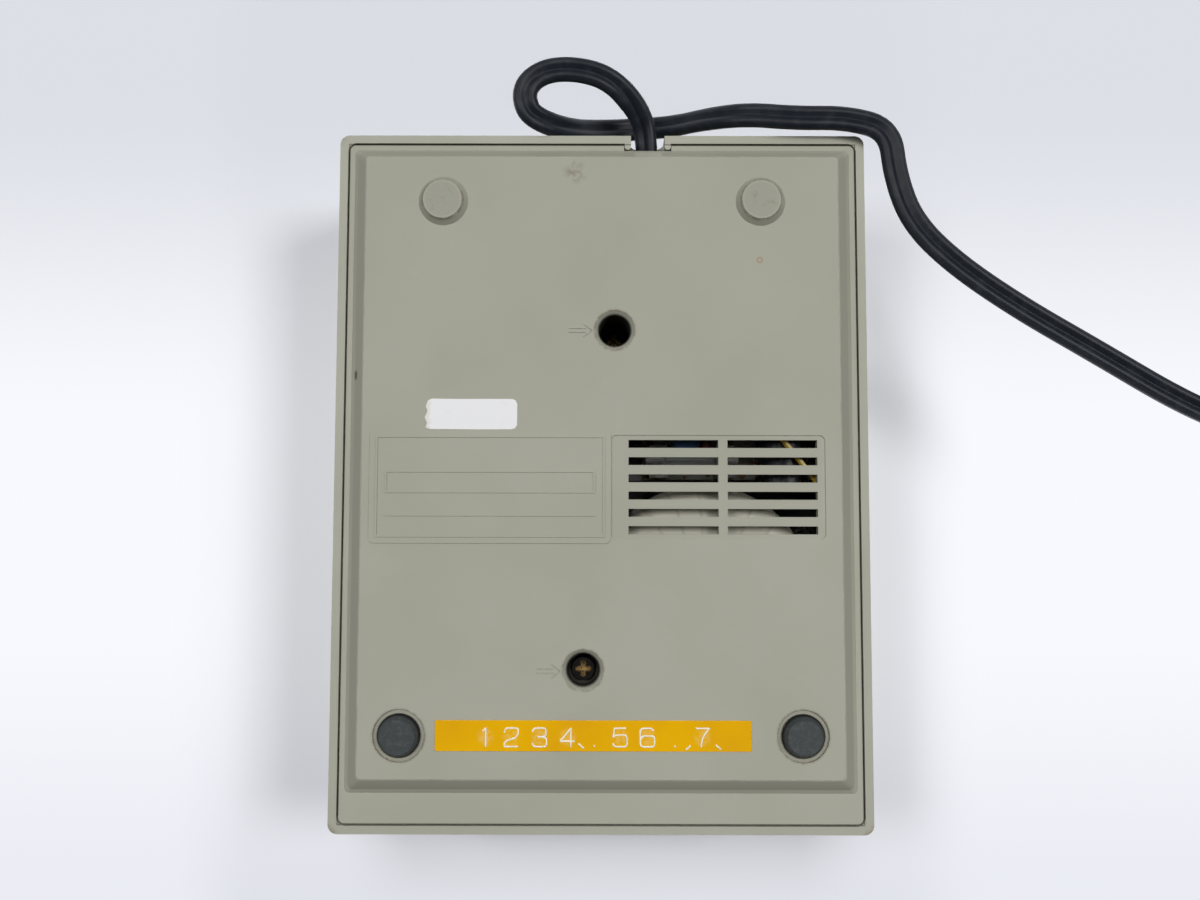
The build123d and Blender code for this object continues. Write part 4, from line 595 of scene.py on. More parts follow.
def coverPlastic(look):
    material, tap, place, colour, rough = housingBase("cover_plastic")
    dirt, brown, pale = (housingLook[key] for key in ("dirt", "brown", "pale"))
    x, y, z = axesOf(place)
    fine = noise(place, *housingLook["fineDirt"])
    edge = (look["half"][0] - abs(x)).least(look["half"][1] - abs(y))

    # painted shade: darker towards the rear
    aged = look["shadedRear"]
    colour = (y.above(*aged["from"]) * aged["share"]).tint(colour, aged["colour"])
    # painted shade on the bevels, deepest on the front bevel, lifted again at the cord notch
    bevelShade = z.above(*look["bevel"]["start"]) * z.below(*look["bevel"]["end"])
    colour = bevelShade.tint(colour, look["bevel"]["colour"])
    colour = (bevelShade * y.below(*look["frontBevelShade"]["until"])).tint(colour, look["frontBevelShade"]["colour"])
    notch = look["notch"]
    notched = bevelShade * y.above(*notch["from"]) * (x - notch["middle"]).near(*notch["half"])
    colour = notched.tint(colour, housingLook["colour"])

    # painted highlight: a pale line in patches along the edge of the plateau, kept away from its middle
    worn = look["edgeHighlight"]
    wear = z.above(*worn["start"]) * z.below(*worn["end"]) * patches(place, *worn["patches"])
    wear = wear * (abs(x) - worn["inner"][0]).most(abs(y) - worn["inner"][1]).above(*worn["soft"])
    colour = (wear * worn["share"]).tint(colour, pale)
    rim = edge.below(*look["rim"]["reach"]) * fine.above(*look["rim"]["dirt"])
    colour = (rim * look["rim"]["share"]).tint(colour, dirt)

    plateau = z.below(*look["plateau"])
    mark = look["smudge"]
    smudge = away(x, y, mark["spot"]).below(*mark["reach"]) * patches(place, *mark["patches"]) * plateau
    colour = (smudge * mark["share"]).tint(colour, brown)
    mark = look["rustRing"]
    ring = (away(x, y, mark["spot"]) - mark["radius"]).near(*mark["line"])
    colour = (ring * plateau * mark["share"]).tint(colour, mark["colour"])
    mark = look["nick"]
    nick = (x - mark["spot"][0]).near(*mark["across"]) * (y - mark["spot"][1]).near(*mark["along"])
    colour = (nick * mark["share"]).tint(colour, dirt)

    face, moat, scuff = look["padFace"], look["padMoat"], look["padScuff"]
    for pad in look["pads"]:
        out = away(x, y, pad)
        rubbed = out.below(*face["reach"]) * z.below(*face["low"])
        colour = (rubbed * face["share"]).tint(colour, face["colour"])
        crescent = (out - moat["radius"]).near(*moat["line"]) * fine.above(*moat["dirt"])
        colour = (crescent * moat["share"]).tint(colour, brown)
        scuffed = out.below(*scuff["reach"]) * patches(place, *scuff["patches"])
        colour = (scuffed * scuff["share"]).tint(colour, brown)

    halo = look["halo"]
    for spots, radius in ((look["feet"], halo["footRadius"]), (look["wells"], halo["wellRadius"])):
        for spot in spots:
            soiled = (away(x, y, spot) - radius).near(*halo["line"]) * fine.above(*halo["dirt"])
            colour = (soiled * halo["share"]).tint(colour, brown)
    # painted shade inside the screw wells
    inside = look["wellShade"]
    for well in look["wells"]:
        dark = away(x, y, well).below(*inside["reach"]) * z.above(*inside["deep"])
        colour = (dark * inside["share"]).tint(colour, inside["colour"])
    dust = patches(place, *look["dust"]["patches"]) * plateau
    colour = (dust * look["dust"]["share"]).tint(colour, pale)
    paintHousing(tap, place, colour, rough)
    return material


# shell: brown at its corners, dirt along the inner lip, edges rubbed pale

shellLook = {
    "half": (56.0, 73.2),
    "corner": {"reach": (0.4, 3.2), "dirt": (0.4, 0.55), "low": (4.6, 9), "share": 0.75},
    "rimTop": (4.4, 4.55),
    "lip": {"inset": 1.95, "line": (0.03, 0.22), "dirt": (0.1, 0.5), "share": 0.8},
    "worn": {"reach": (0.0, 0.35), "patches": (0.4, 3, 0.45, 0.6), "share": 0.2},
}


def shellPlastic(look):
    material, tap, place, colour, rough = housingBase("shell_plastic")
    x, y, z = axesOf(place)
    fine = noise(place, *housingLook["fineDirt"])
    inX, inY = look["half"][0] - abs(x), look["half"][1] - abs(y)
    inset = inX.least(inY)
    corner, lip, worn = look["corner"], look["lip"], look["worn"]
    soiled = (inX + inY).below(*corner["reach"]) * fine.above(*corner["dirt"]) * z.below(*corner["low"])
    colour = (soiled * corner["share"]).tint(colour, housingLook["brown"])
    low = z.below(*look["rimTop"])
    line = (inset - lip["inset"]).near(*lip["line"]) * low * fine.above(*lip["dirt"])
    colour = (line * lip["share"]).tint(colour, housingLook["dirt"])
    rubbed = inset.below(*worn["reach"]) * patches(place, *worn["patches"]) * low
    colour = (rubbed * worn["share"]).tint(colour, housingLook["pale"])
    paintHousing(tap, place, colour, rough)
    return material


dress(coverPlastic(coverLook), "bottom_cover")
dress(shellPlastic(shellLook), "top_cover", "lid_frame")
print("housing dressed")


# plain finishes: colour, second colour, size of its patches, gloss, grain and its depth, metal or not

finishes = {
    "deck_black": {"colour": (0.020, 0.020, 0.021), "second": (0.030, 0.030, 0.030), "patch": 0.2,
                   "roughness": 0.52, "grain": 4.0, "depth": 0.015, "nodes": ["cassette_deck", "cord_clamp"]},
    "key_satin": {"colour": (0.030, 0.028, 0.026), "second": (0.034, 0.032, 0.030), "patch": 0.25,
                  "roughness": 0.32, "grain": 6.0, "depth": 0.006, "nodes": ["start_key", "stop_key"]},
    "belt_rubber": {"colour": (0.012, 0.012, 0.012), "second": (0.022, 0.022, 0.021), "patch": 0.8,
                    "roughness": 0.62, "grain": 5.0, "depth": 0.010, "nodes": ["drive_belt"]},
    "spindle_white": {"colour": (0.62, 0.61, 0.56), "second": (0.56, 0.54, 0.48), "patch": 0.12,
                      "roughness": 0.38, "grain": 5.0, "depth": 0.006,
                      "nodes": ["takeup_spindle", "supply_spindle", "spindle_washers"]},
    "turned_brass": {"colour": (0.48, 0.32, 0.12), "second": (0.40, 0.25, 0.08), "patch": 1.2, "metal": 1.0,
                     "roughness": 0.28, "grain": 9.0, "depth": 0.005, "stretch": (1, 1, 12),
                     "nodes": ["motor_pulley"]},
    "drawn_steel": {"colour": (0.46, 0.46, 0.45), "second": (0.34, 0.34, 0.34), "patch": 0.3, "metal": 1.0,
                    "roughness": 0.30, "grain": 6.0, "depth": 0.006, "stretch": (1, 1, 0.06),
                    "nodes": ["motor_can"]},
    "zinc_sheet": {"colour": (0.42, 0.43, 0.43), "second": (0.31, 0.31, 0.30), "patch": 0.5, "metal": 1.0,
                   "roughness": 0.36, "grain": 3.0, "depth": 0.008, "stretch": (1, 0.15, 1),
                   "nodes": ["chassis_plate", "key_bracket", "transformer_plate"]},
    "bright_steel": {"colour": (0.50, 0.50, 0.49), "second": (0.38, 0.37, 0.35), "patch": 1.5, "metal": 1.0,
                     "roughness": 0.27, "grain": 8.0, "depth": 0.004,
                     "nodes": ["deck_screws", "lid_hinge_pin", "chassis_screws", "spindle_shafts",
                               "motor_screws", "motor_shaft", "transformer_bolt", "board_spacers",
                               "board_screws", "magnet_screws", "key_shaft", "bracket_screws",
                               "clamp_screws", "start_spring", "stop_spring"]},
    "tinned_strip": {"colour": (0.34, 0.34, 0.32), "second": (0.22, 0.21, 0.19), "patch": 1.0, "metal": 1.0,
                     "roughness": 0.24, "grain": 6.0, "depth": 0.004,
                     "nodes": ["fuse_clips", "leaf_switches"]},
    "black_sleeve": {"colour": (0.016, 0.016, 0.020), "second": (0.028, 0.028, 0.032), "patch": 0.6,
                     "roughness": 0.26, "grain": 3.0, "depth": 0.006, "nodes": ["reservoir_capacitor"]},
    "blue_dip": {"colour": (0.030, 0.065, 0.150), "second": (0.040, 0.085, 0.180), "patch": 0.9,
                 "roughness": 0.22, "grain": 1.6, "depth": 0.030, "nodes": ["film_capacitor"]},
    "yellow_lead": {"colour": (0.36, 0.25, 0.025), "second": (0.28, 0.19, 0.02), "patch": 0.8,
                    "roughness": 0.36, "grain": 3.0, "depth": 0.010, "nodes": ["transformer_leads"]},
    "moulded_plug": {"colour": (0.018, 0.019, 0.021), "second": (0.030, 0.031, 0.033), "patch": 0.4,
                     "roughness": 0.40, "grain": 4.0, "depth": 0.012, "nodes": ["plug_body"]},
    "plated_blade": {"colour": (0.56, 0.48, 0.30), "second": (0.44, 0.34, 0.16), "patch": 0.9, "metal": 1.0,
                     "roughness": 0.26, "grain": 4.0, "depth": 0.005, "nodes": ["plug_blades"]},
    "tie_vinyl": {"colour": (0.022, 0.023, 0.025), "second": (0.034, 0.035, 0.037), "patch": 0.9,
                  "roughness": 0.34, "grain": 3.0, "depth": 0.010, "nodes": ["cord_tie"]},
}
plainPatches = (4, 0.35, 0.75, 0.6)
plainGrainDetail = 3
plainRoughSpread = 0.12


def plainFinish(name, look):
    material, tap = newMaterial(name)
    place = placeOn(tap, look.get("stretch", (1, 1, 1)))
    patchy = patches(place, look["patch"], *plainPatches)
    colour = patchy.tint(look["colour"], look["second"])
    rough = look["roughness"] + (patchy - 0.5) * plainRoughSpread
    paint(tap, colour, rough, noise(place, look["grain"], plainGrainDetail), look["depth"],
          Metallic=look.get("metal", 0.0))
    return material


for name, look in finishes.items():
    dress(plainFinish(name, look), *look["nodes"])
print("plain finishes on")


# rubber feet: slate face rubbed pale by tables, black shoulder, crumbs of dirt at its edge

footLook = {
    "places": [(41.15, -52.7), (-41.15, -52.7)],
    "face": (0.038, 0.047, 0.050),
    "rubbed": (0.058, 0.066, 0.068),
    "shoulder": (0.009, 0.009, 0.010),
    "crumb": (0.16, 0.10, 0.04),
    "rubbedPatches": (0.9, 5, 0.45, 0.70, 0.65),
    "shoulderFrom": (3.9, 4.25),
    "crumbsFrom": (4.1, 4.5),
    "crumbPatches": (1.1, 4, 0.60, 0.68, 0.6),
    "crumbShare": 0.8,
    "roughness": 0.46,
    "rubbedRougher": 0.12,
    "shoulderSmoother": 0.10,
    "grain": (2.5, 4),
    "grainDepth": 0.03,
}


def footFinish(look):
    material, tap = newMaterial("foot_rubber")
    place = placeOn(tap)
    x, y = axesOf(place, "XY")
    ring = away(x, y, look["places"][0]).least(away(x, y, look["places"][1]))
    rubbed = patches(place, *look["rubbedPatches"])
    colour = rubbed.tint(look["face"], look["rubbed"])
    shoulder = ring.above(*look["shoulderFrom"])
    colour = shoulder.tint(colour, look["shoulder"])
    crumbs = ring.above(*look["crumbsFrom"]) * patches(place, *look["crumbPatches"])
    colour = (crumbs * look["crumbShare"]).tint(colour, look["crumb"])
    rough = look["roughness"] + rubbed * look["rubbedRougher"] - shoulder * look["shoulderSmoother"]
    paint(tap, colour, rough, noise(place, *look["grain"]), look["grainDepth"])
    return material


dress(footFinish(footLook), "rubber_feet")


# cover screws: blackened heads, the cross worn down to a brassy colour

screwLook = {
    "places": coverLook["wells"],
    "black": (0.014, 0.013, 0.012),
    "worn": (0.42, 0.28, 0.11),
    "armHalf": (0.31, 0.62),
    "wornReach": (1.3125, 1.75),
    "wornPatches": (1.6, 4, 0.34, 0.52, 0.65),
    "roughness": 0.34,
    "roughPatches": (3.0, 2, 0.3, 0.7),
    "roughSpread": 0.15,
    "metal": 0.9,
    "grain": 5.0,
    "grainDepth": 0.01,
}


def screwFinish(look):
    material, tap = newMaterial("worn_black_screw")
    place = placeOn(tap)
    x, y = axesOf(place, "XY")
    crosses = []
    for spot in look["places"]:
        arm = abs(x - spot[0]).least(abs(y - spot[1]))
        crosses.append(arm.below(*look["armHalf"]) * away(x, y, spot).below(*look["wornReach"]))
    worn = crosses[0].most(crosses[1]) * patches(place, *look["wornPatches"])
    colour = worn.tint(look["black"], look["worn"])
    rough = look["roughness"] + patches(place, *look["roughPatches"]) * look["roughSpread"]
    paint(tap, colour, rough, noise(place, look["grain"]), look["grainDepth"], Metallic=look["metal"])
    return material


dress(screwFinish(screwLook), "cover_screws")


# ring core: cream tape wound round it, each turn lapping the one before, with painted shade along each lap's
# edge

coreLook = {
    "middle": (-21.8, -25.0),
    "turns": 23,
    "lean": 0.035,
    "wander": 0.5,
    "wanderScale": 0.10,
    "cream": (0.50, 0.485, 0.40),
    "varnish": (0.44, 0.42, 0.34),
    "stain": (0.16, 3, 0.35, 0.75),
    # painted shade along the edge of each lap
    "foldShade": (0.31, 0.285, 0.22),
    "foldLine": (0.38, 0.48),
    "foldShare": 0.45,
    "weave": 3.5,
    "weaveHeight": 0.15,
    "lapDepth": 0.16,
    "roughness": 0.40,
    "stainRougher": 0.1,
}


def coreTape(look):
    material, tap = newMaterial("core_tape")
    place = placeOn(tap)
    x, y, z = axesOf(place)
    angle = tap.math("ARCTAN2", y - look["middle"][1], x - look["middle"][0])
    turn = angle * (look["turns"] / (2 * math.pi)) + z * look["lean"]
    turn = turn + noise(place, look["wanderScale"]) * look["wander"]
    lap = turn.math("FRACT", turn)
    stain = patches(place, *look["stain"])
    colour = stain.tint(look["cream"], look["varnish"])
    # painted shade at each lap's fold
    foldShade = abs(lap - 0.5).above(*look["foldLine"])
    colour = (foldShade * look["foldShare"]).tint(colour, look["foldShade"])
    height = lap + noise(place, look["weave"]) * look["weaveHeight"]
    paint(tap, colour, look["roughness"] + stain * look["stainRougher"], height, look["lapDepth"])
    return material


dress(coreTape(coreLook), "mains_transformer")


# board: brown laminate with tinned tracks on its underside

laminateLook = {
    "colour": (0.24, 0.135, 0.050),
    "dark": (0.17, 0.090, 0.032),
    "fibre": (0.8, 3, 0.3, 0.7),
    "fibreStretch": (0.2, 3, 1),
    "track": (0.30, 0.33, 0.30),
    "trackScale": 0.22,
    "trackEdge": (0.42, 0.46),
    "underside": (17.1, 17.3),
    "trackShare": 0.8,
    "trackDepth": 0.05,
    "roughness": 0.45,
    "trackSmoother": 0.1,
}


def laminate(look):
    material, tap = newMaterial("board_laminate")
    place = placeOn(tap)
    z, = axesOf(place, "Z")
    fibre = patches(placeOn(tap, look["fibreStretch"]), *look["fibre"])
    colour = fibre.tint(look["colour"], look["dark"])
    cells = tap.node("ShaderNodeTexVoronoi", {"distance": "MANHATTAN"},
                     {"Vector": place, "Scale": look["trackScale"]}, "Distance")
    track = cells.above(*look["trackEdge"])
    shown = track * z.below(*look["underside"]) * look["trackShare"]
    paint(tap, shown.tint(colour, look["track"]), look["roughness"] - track * look["trackSmoother"],
          cells, look["trackDepth"])
    return material


# small board parts: banded resistors, diodes with a pale band, fuse with metal caps

smallGloss = {"scale": 2.0, "spread": 0.1}
leadMetal = (0.36, 0.36, 0.34)

resistorLook = {
    "middles": [(-23.0, 10.0), (-27.6, 11.2), (-24.5, 18.6)],
    "body": (0.34, 0.10, 0.055),
    "shade": 0.8,
    "mottle": (1.5, 2, 0.3, 0.7),
    "halfAcross": (1.3, 1.6),
    "halfAlong": (3.3, 3.5),
    "bands": [(-1.9, (0.12, 0.04, 0.01)), (-0.9, (0.45, 0.03, 0.02)), (0.1, (0.60, 0.24, 0.02)),
              (1.6, (0.42, 0.30, 0.08))],
    "bandHalf": (0.224, 0.336),
    "leadsFrom": (15.9, 16.2),
    "leadShare": 0.8,
    "roughness": 0.30,
    "grain": 2.5,
    "grainDepth": 0.01,
}
diodeLook = {
    "body": (0.016, 0.016, 0.017),
    "band": (0.50, 0.50, 0.50),
    "bandMiddle": -21.9,
    "bandHalf": (0.30, 0.40),
    "bodyTop": (16.4, 16.6),
    "roughness": 0.34,
    "grain": 4.0,
    "grainDepth": 0.008,
}
fuseLook = {
    "middle": -19.5,
    "capFrom": (6.4, 6.55),
    "glass": (0.30, 0.32, 0.31),
    "glassAlpha": 0.45,
    "glassRoughness": 0.10,
    "capRougher": 0.18,
    "grain": 2.0,
    "grainDepth": 0.006,
}


def smallRoughness(place, roughness):
    return roughness + noise(place, smallGloss["scale"]) * smallGloss["spread"]


def resistorFinish(look):
    material, tap = newMaterial("resistor_bands")
    place = placeOn(tap)
    x, y, z = axesOf(place)
    shade = tuple(part * look["shade"] for part in look["body"])
    colour = patches(place, *look["mottle"]).tint(look["body"], shade)
    for middle in look["middles"]:
        along = y - middle[1]
        body = (x - middle[0]).near(*look["halfAcross"]) * along.near(*look["halfAlong"])
        for offset, band in look["bands"]:
            colour = ((along - offset).near(*look["bandHalf"]) * body).tint(colour, band)
    colour = (z.above(*look["leadsFrom"]) * look["leadShare"]).tint(colour, leadMetal)
    paint(tap, colour, smallRoughness(place, look["roughness"]), noise(place, look["grain"]),
          look["grainDepth"])
    return material


def diodeFinish(look):
    material, tap = newMaterial("diode_band")
    place = placeOn(tap)
    x, z = axesOf(place, "XZ")
    band = (x - look["bandMiddle"]).near(*look["bandHalf"]) * z.below(*look["bodyTop"])
    paint(tap, band.tint(look["body"], look["band"]), smallRoughness(place, look["roughness"]),
          noise(place, look["grain"]), look["grainDepth"])
    return material


def fuseFinish(look):
    material, tap = newMaterial("fuse_glass_and_caps")
    place = placeOn(tap)
    x, = axesOf(place, "X")
    cap = abs(x - look["middle"]).above(*look["capFrom"])
    paint(tap, cap.tint(look["glass"], leadMetal), look["glassRoughness"] + cap * look["capRougher"],
          noise(place, look["grain"]), look["grainDepth"], Metallic=cap,
          Alpha=look["glassAlpha"] + cap * (1 - look["glassAlpha"]))
    return material


dress(laminate(laminateLook), "circuit_board")
dress(resistorFinish(resistorLook), "resistors")
dress(diodeFinish(diodeLook), "rectifier_diodes")
dress(fuseFinish(fuseLook), "fuse")


# erase magnet: stacked laminations, its winding under yellow tape

magnetLook = {
    "sheet": (0.24, 0.235, 0.225),
    "gap": (0.05, 0.045, 0.04),
    "sheetsPerMillimetre": 2.0,
    "gapLine": (0.72, 0.9),
    "sheetDepth": 0.03,
    "rust": (0.16, 0.08, 0.04),
    "rustPatches": (0.5, 4, 0.55, 0.75, 0.65),
    "rustShare": 0.4,
    "roughness": 0.42,
    "rustRougher": 0.3,
    "metal": 0.85,
}
windingLook = {
    "tape": (0.52, 0.30, 0.05),
    "dark": (0.36, 0.17, 0.03),
    "blotches": (0.4, 3, 0.35, 0.7),
    "wiresPerMillimetre": 2.4,
    "wireDepth": 0.06,
    "roughness": 0.28,
    "blotchRougher": 0.1,
}


def laminations(look):
    material, tap = newMaterial("laminations")
    place = placeOn(tap)
    z, = axesOf(place, "Z")
    layer = z * look["sheetsPerMillimetre"]
    line = layer.math("FRACT", layer).above(*look["gapLine"])
    colour = line.tint(look["sheet"], look["gap"])
    rust = patches(place, *look["rustPatches"]) * look["rustShare"]
    colour = rust.tint(colour, look["rust"])
    paint(tap, colour, look["roughness"] + rust * look["rustRougher"], 1 - line, look["sheetDepth"],
          Metallic=look["metal"])
    return material


def windingTape(look):
    material, tap = newMaterial("winding_tape")
    place = placeOn(tap)
    x, = axesOf(place, "X")
    wire = x * look["wiresPerMillimetre"]
    wire = abs(wire.math("FRACT", wire) - 0.5)
    blotch = patches(place, *look["blotches"])
    paint(tap, blotch.tint(look["tape"], look["dark"]),
          look["roughness"] + blotch * look["blotchRougher"], wire, look["wireDepth"])
    return material


dress(laminations(magnetLook), "magnet_core")
dress(windingTape(windingLook), "magnet_winding")


# clear parts: smoked window, red pilot lens, lamp bulb

clearParts = {
    "smoked_window": {"colour": (0.40, 0.32, 0.26), "second": (0.36, 0.285, 0.23), "roughness": 0.05,
                      "clearness": 0.9, "node": "lid_window"},
    "red_lens": {"colour": (0.60, 0.018, 0.012), "second": (0.50, 0.012, 0.010), "roughness": 0.10,
                 "clearness": 0.75, "node": "pilot_lens"},
    "lamp_glass": {"colour": (0.88, 0.88, 0.84), "second": (0.80, 0.80, 0.76), "roughness": 0.04,
                   "clearness": 0.9, "node": "pilot_lamp"},
}
clearWear = {
    "haze": (0.18, 4, 0.4, 0.8, 0.65),
    "hazeRougher": 0.06,
    "scratchStretch": (0.3, 5, 1),
    "scratches": (1.2, 2, 0.66, 0.72),
    "scratchRougher": 0.08,
    "scratchDepth": 0.002,
    "refraction": 1.49,
}


def clearFinish(name, look, wear):
    material, tap = newMaterial(name)
    haze = patches(placeOn(tap), *wear["haze"])
    scratches = patches(placeOn(tap, wear["scratchStretch"]), *wear["scratches"])
    rough = look["roughness"] + haze * wear["hazeRougher"] + scratches * wear["scratchRougher"]
    paint(tap, haze.tint(look["colour"], look["second"]), rough, scratches, wear["scratchDepth"],
          Transmission_Weight=look["clearness"], IOR=wear["refraction"])
    return material


for name, look in clearParts.items():
    dress(clearFinish(name, look, clearWear), look["node"])


# flex sheath: slate black, slightly shiny, with dusty patches

sheathLook = {
    "colour": (0.009, 0.012, 0.018),
    "dusty": (0.017, 0.021, 0.029),
    "dust": (0.35, 4, 0.45, 0.75, 0.6),
    "roughness": 0.38,
    "dustRougher": 0.14,
    "grain": (2.2, 3),
    "grainDepth": 0.012,
    "specular": 0.30,
}


def sheathFinish(look):
    material, tap = newMaterial("flex_sheath")
    place = placeOn(tap)
    dust = patches(place, *look["dust"])
    paint(tap, dust.tint(look["colour"], look["dusty"]), look["roughness"] + dust * look["dustRougher"],
          noise(place, *look["grain"]), look["grainDepth"], Specular_IOR_Level=look["specular"])
    return material


cordPiece.data.materials.append(sheathFinish(sheathLook))
print("special finishes on")


# label tape: embossed plain numbers on glossy yellow tape, stuck on the plateau

plateauFace = 1.6
stuckIn = 0.02  # how far what is stuck or moulded on goes into the plateau

tapeShape = {
    "left": 33.75,
    "right": -30.57,
    "top": -49.51,
    "bottom": -55.70,
    "thickness": 0.24,
    "cornerRadius": 0.35,
    "edgeRounding": 0.06,
    "digits": [("1", 23.5), ("2", 18.2), ("3", 12.5), ("4", 6.8), (".", 1.4), ("5", -3.8), ("6", -9.4),
               (".", -15.0), ("7", -20.6)],
    "digitBase": -54.75,
    "digitHalfWidth": 1.5,
    "strokeHalf": 0.19,
    "strokeSmoothness": 5,
    "ticks": [((4.6, -54.1), (3.5, -55.1)), ((-17.2, -55.3), (-18.2, -54.5)),
              ((-23.2, -54.3), (-24.3, -55.2))],
    "strokes": {
        "1": [[(1.0, 3.1), (1.6, 3.7), (1.6, 3.7), (1.6, 0)]],
        "2": [[(0.1, 2.8), (0.2, 3.7), (1.5, 3.7), (2.9, 3.7), (2.9, 2.6), (2.6, 1.9), (1.2, 1.4),
               (0.1, 0.9), (0.1, 0), (0.1, 0), (2.9, 0)]],
        "3": [[(0.1, 3.0), (0.3, 3.7), (1.5, 3.7), (2.8, 3.7), (2.8, 2.8), (2.8, 1.95), (1.2, 1.95)],
              [(1.5, 1.95), (2.95, 1.95), (2.95, 0.95), (2.95, 0), (1.5, 0), (0.2, 0), (0.05, 0.8)]],
        "4": [[(2.2, 0), (2.2, 3.7), (2.2, 3.7), (0.05, 1.1), (0.05, 1.1), (3.0, 1.1)]],
        "5": [[(2.8, 3.7), (0.4, 3.7), (0.4, 3.7), (0.2, 2.0), (0.2, 2.0), (0.8, 2.35), (1.6, 2.35),
               (2.95, 2.35), (2.95, 1.15), (2.95, 0), (1.5, 0), (0.3, 0), (0.05, 0.7)]],
        "6": [[(2.8, 3.2), (2.3, 3.7), (1.5, 3.7), (0.05, 3.7), (0.05, 1.85), (0.05, 0), (1.5, 0),
               (2.95, 0), (2.95, 1.1), (2.95, 2.15), (1.5, 2.15), (0.3, 2.15), (0.1, 1.2)]],
        "7": [[(0.1, 3.7), (2.9, 3.7), (2.9, 3.7), (1.3, 1.7), (1.2, 0)]],
        ".": [[(1.35, 0.1), (1.5, 0.15), (1.65, 0.1)]],
    },
}
tapeLook = {
    "colour": (0.79, 0.425, 0.0),
    "deep": (0.73, 0.370, 0.0),
    "sweep": (0.08, 2, 0.35, 0.7),
    "stretched": (0.82, 0.60, 0.22),
    "stretchHeight": 1.85,
    "stretchReach": (0.7, 2.2),
    "stretchPatches": (1.3, 3, 0.35, 0.6),
    "stretchShare": 0.35,
    "roughness": 0.22,
    "sweepRougher": 0.05,
    "wave": 0.22,
    "waveDepth": 0.10,
    "specular": 0.35,
}
inkLook = {
    "white": (0.86, 0.84, 0.78),
    "thin": (0.90, 0.80, 0.50),
    "chalk": (2.2, 3, 0.35, 0.7),
    "roughness": 0.42,
    "chalkRougher": 0.1,
    "chalkDepth": 0.02,
}


def platePiece(name, corners, thickness, rounding):
    # flat plate with the given outline, stuck on the plateau, its free edge bevelled
    low, high = plateauFace - thickness, plateauFace + stuckIn
    mesh = bmesh.new()
    top = mesh.faces.new([mesh.verts.new((x * mm, y * mm, high * mm)) for x, y in corners])
    made = bmesh.ops.extrude_face_region(mesh, geom=[top])
    lower = [part for part in made["geom"] if isinstance(part, bmesh.types.BMVert)]
    bmesh.ops.translate(mesh, verts=lower, vec=(0, 0, (low - high) * mm))
    bmesh.ops.recalc_face_normals(mesh, faces=mesh.faces)
    rim = [edge for edge in mesh.edges if all(vertex in lower for vertex in edge.verts)]
    bmesh.ops.bevel(mesh, geom=rim, offset=rounding * mm, segments=2, affect="EDGES", profile=0.6)
    return meshPiece(name, mesh, smooth=False)


def roundedCorners(left, right, top, bottom, radius, steps=4):
    corners = []
    for cx, cy, start in ((right + radius, top - radius, 90), (right + radius, bottom + radius, 180),
                          (left - radius, bottom + radius, 270), (left - radius, top - radius, 0)):
        for step in range(steps + 1):
            angle = math.radians(start + 90 * step / steps)
            corners.append((cx + radius * math.cos(angle), cy + radius * math.sin(angle)))
    return corners


def tapeVinyl(look, shape):
    material, tap = newMaterial("tape_vinyl")
    place = placeOn(tap)
    x, y = axesOf(place, "XY")
    sweep = patches(place, *look["sweep"])
    colour = sweep.tint(look["colour"], look["deep"])
    for character, where in shape["digits"]:
        if character != ".":
            out = away(x, y, (where, shape["digitBase"] + look["stretchHeight"]))
            stretched = out.below(*look["stretchReach"]) * patches(place, *look["stretchPatches"])
            colour = (stretched * look["stretchShare"]).tint(colour, look["stretched"])
    paint(tap, colour, look["roughness"] + sweep * look["sweepRougher"], noise(place, look["wave"]),
          look["waveDepth"], Specular_IOR_Level=look["specular"])
    return material


def digitInk(look):
    material, tap = newMaterial("stretched_white")
    chalk = patches(placeOn(tap), *look["chalk"])
    paint(tap, chalk.tint(look["white"], look["thin"]), look["roughness"] + chalk * look["chalkRougher"],
          chalk, look["chalkDepth"])
    return material


def pressNumbers(shape, ink):
    face = plateauFace - shape["thickness"]
    for index, (character, where) in enumerate(shape["digits"]):
        left = where + shape["digitHalfWidth"]
        glyph = [[(left - u, shape["digitBase"] + v, face) for u, v in stroke]
                 for stroke in shape["strokes"][character]]
        wirePiece(f"embossed_digit_{index}", glyph, shape["strokeHalf"], shape["strokeSmoothness"], ink)
    ticks = [[(*start, face), ((start[0] + end[0]) / 2, (start[1] + end[1]) / 2, face), (*end, face)]
             for start, end in shape["ticks"]]
    wirePiece("stretch_marks", ticks, shape["strokeHalf"], shape["strokeSmoothness"], ink)


tapeOutline = roundedCorners(*(tapeShape[key] for key in ("left", "right", "top", "bottom", "cornerRadius")))
labelTape = platePiece("label_tape", tapeOutline, tapeShape["thickness"], tapeShape["edgeRounding"])
labelTape.data.materials.append(tapeVinyl(tapeLook, tapeShape))
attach(labelTape, "box")
pressNumbers(tapeShape, digitInk(inkLook))
print("label tape on")


# paper sticker: blank, one end torn

stickerShape = {
    "outline": [(36.0, 15.9), (36.5, 14.6), (36.1, 13.6), (36.7, 12.3), (36.2, 11.1), (36.5, 10.2),
                (35.6, 9.85), (30.0, 9.83), (24.0, 9.80), (18.6, 9.83), (17.9, 10.05), (17.5, 10.7),
                (17.48, 13.0), (17.5, 15.2), (17.9, 15.9), (18.6, 16.13), (24.0, 16.15), (29.0, 16.12),
                (33.0, 16.15), (35.2, 16.2)],
    "thickness": 0.09,
    "edgeRounding": 0.02,
    "paper": (0.76, 0.76, 0.77),
    "aged": (0.66, 0.63, 0.56),
    "soil": (0.45, 5, 0.55, 0.85, 0.7),
    "soilShare": 0.6,
    "tornFrom": (35.2, 36.2),
    "tornNoise": (1.2, 3),
    "tornRagged": 1.6,
    "tornShare": 0.8,
    "roughness": 0.48,
    "soilRougher": 0.2,
    "grain": (6.0, 3),
    "grainDepth": 0.01,
}


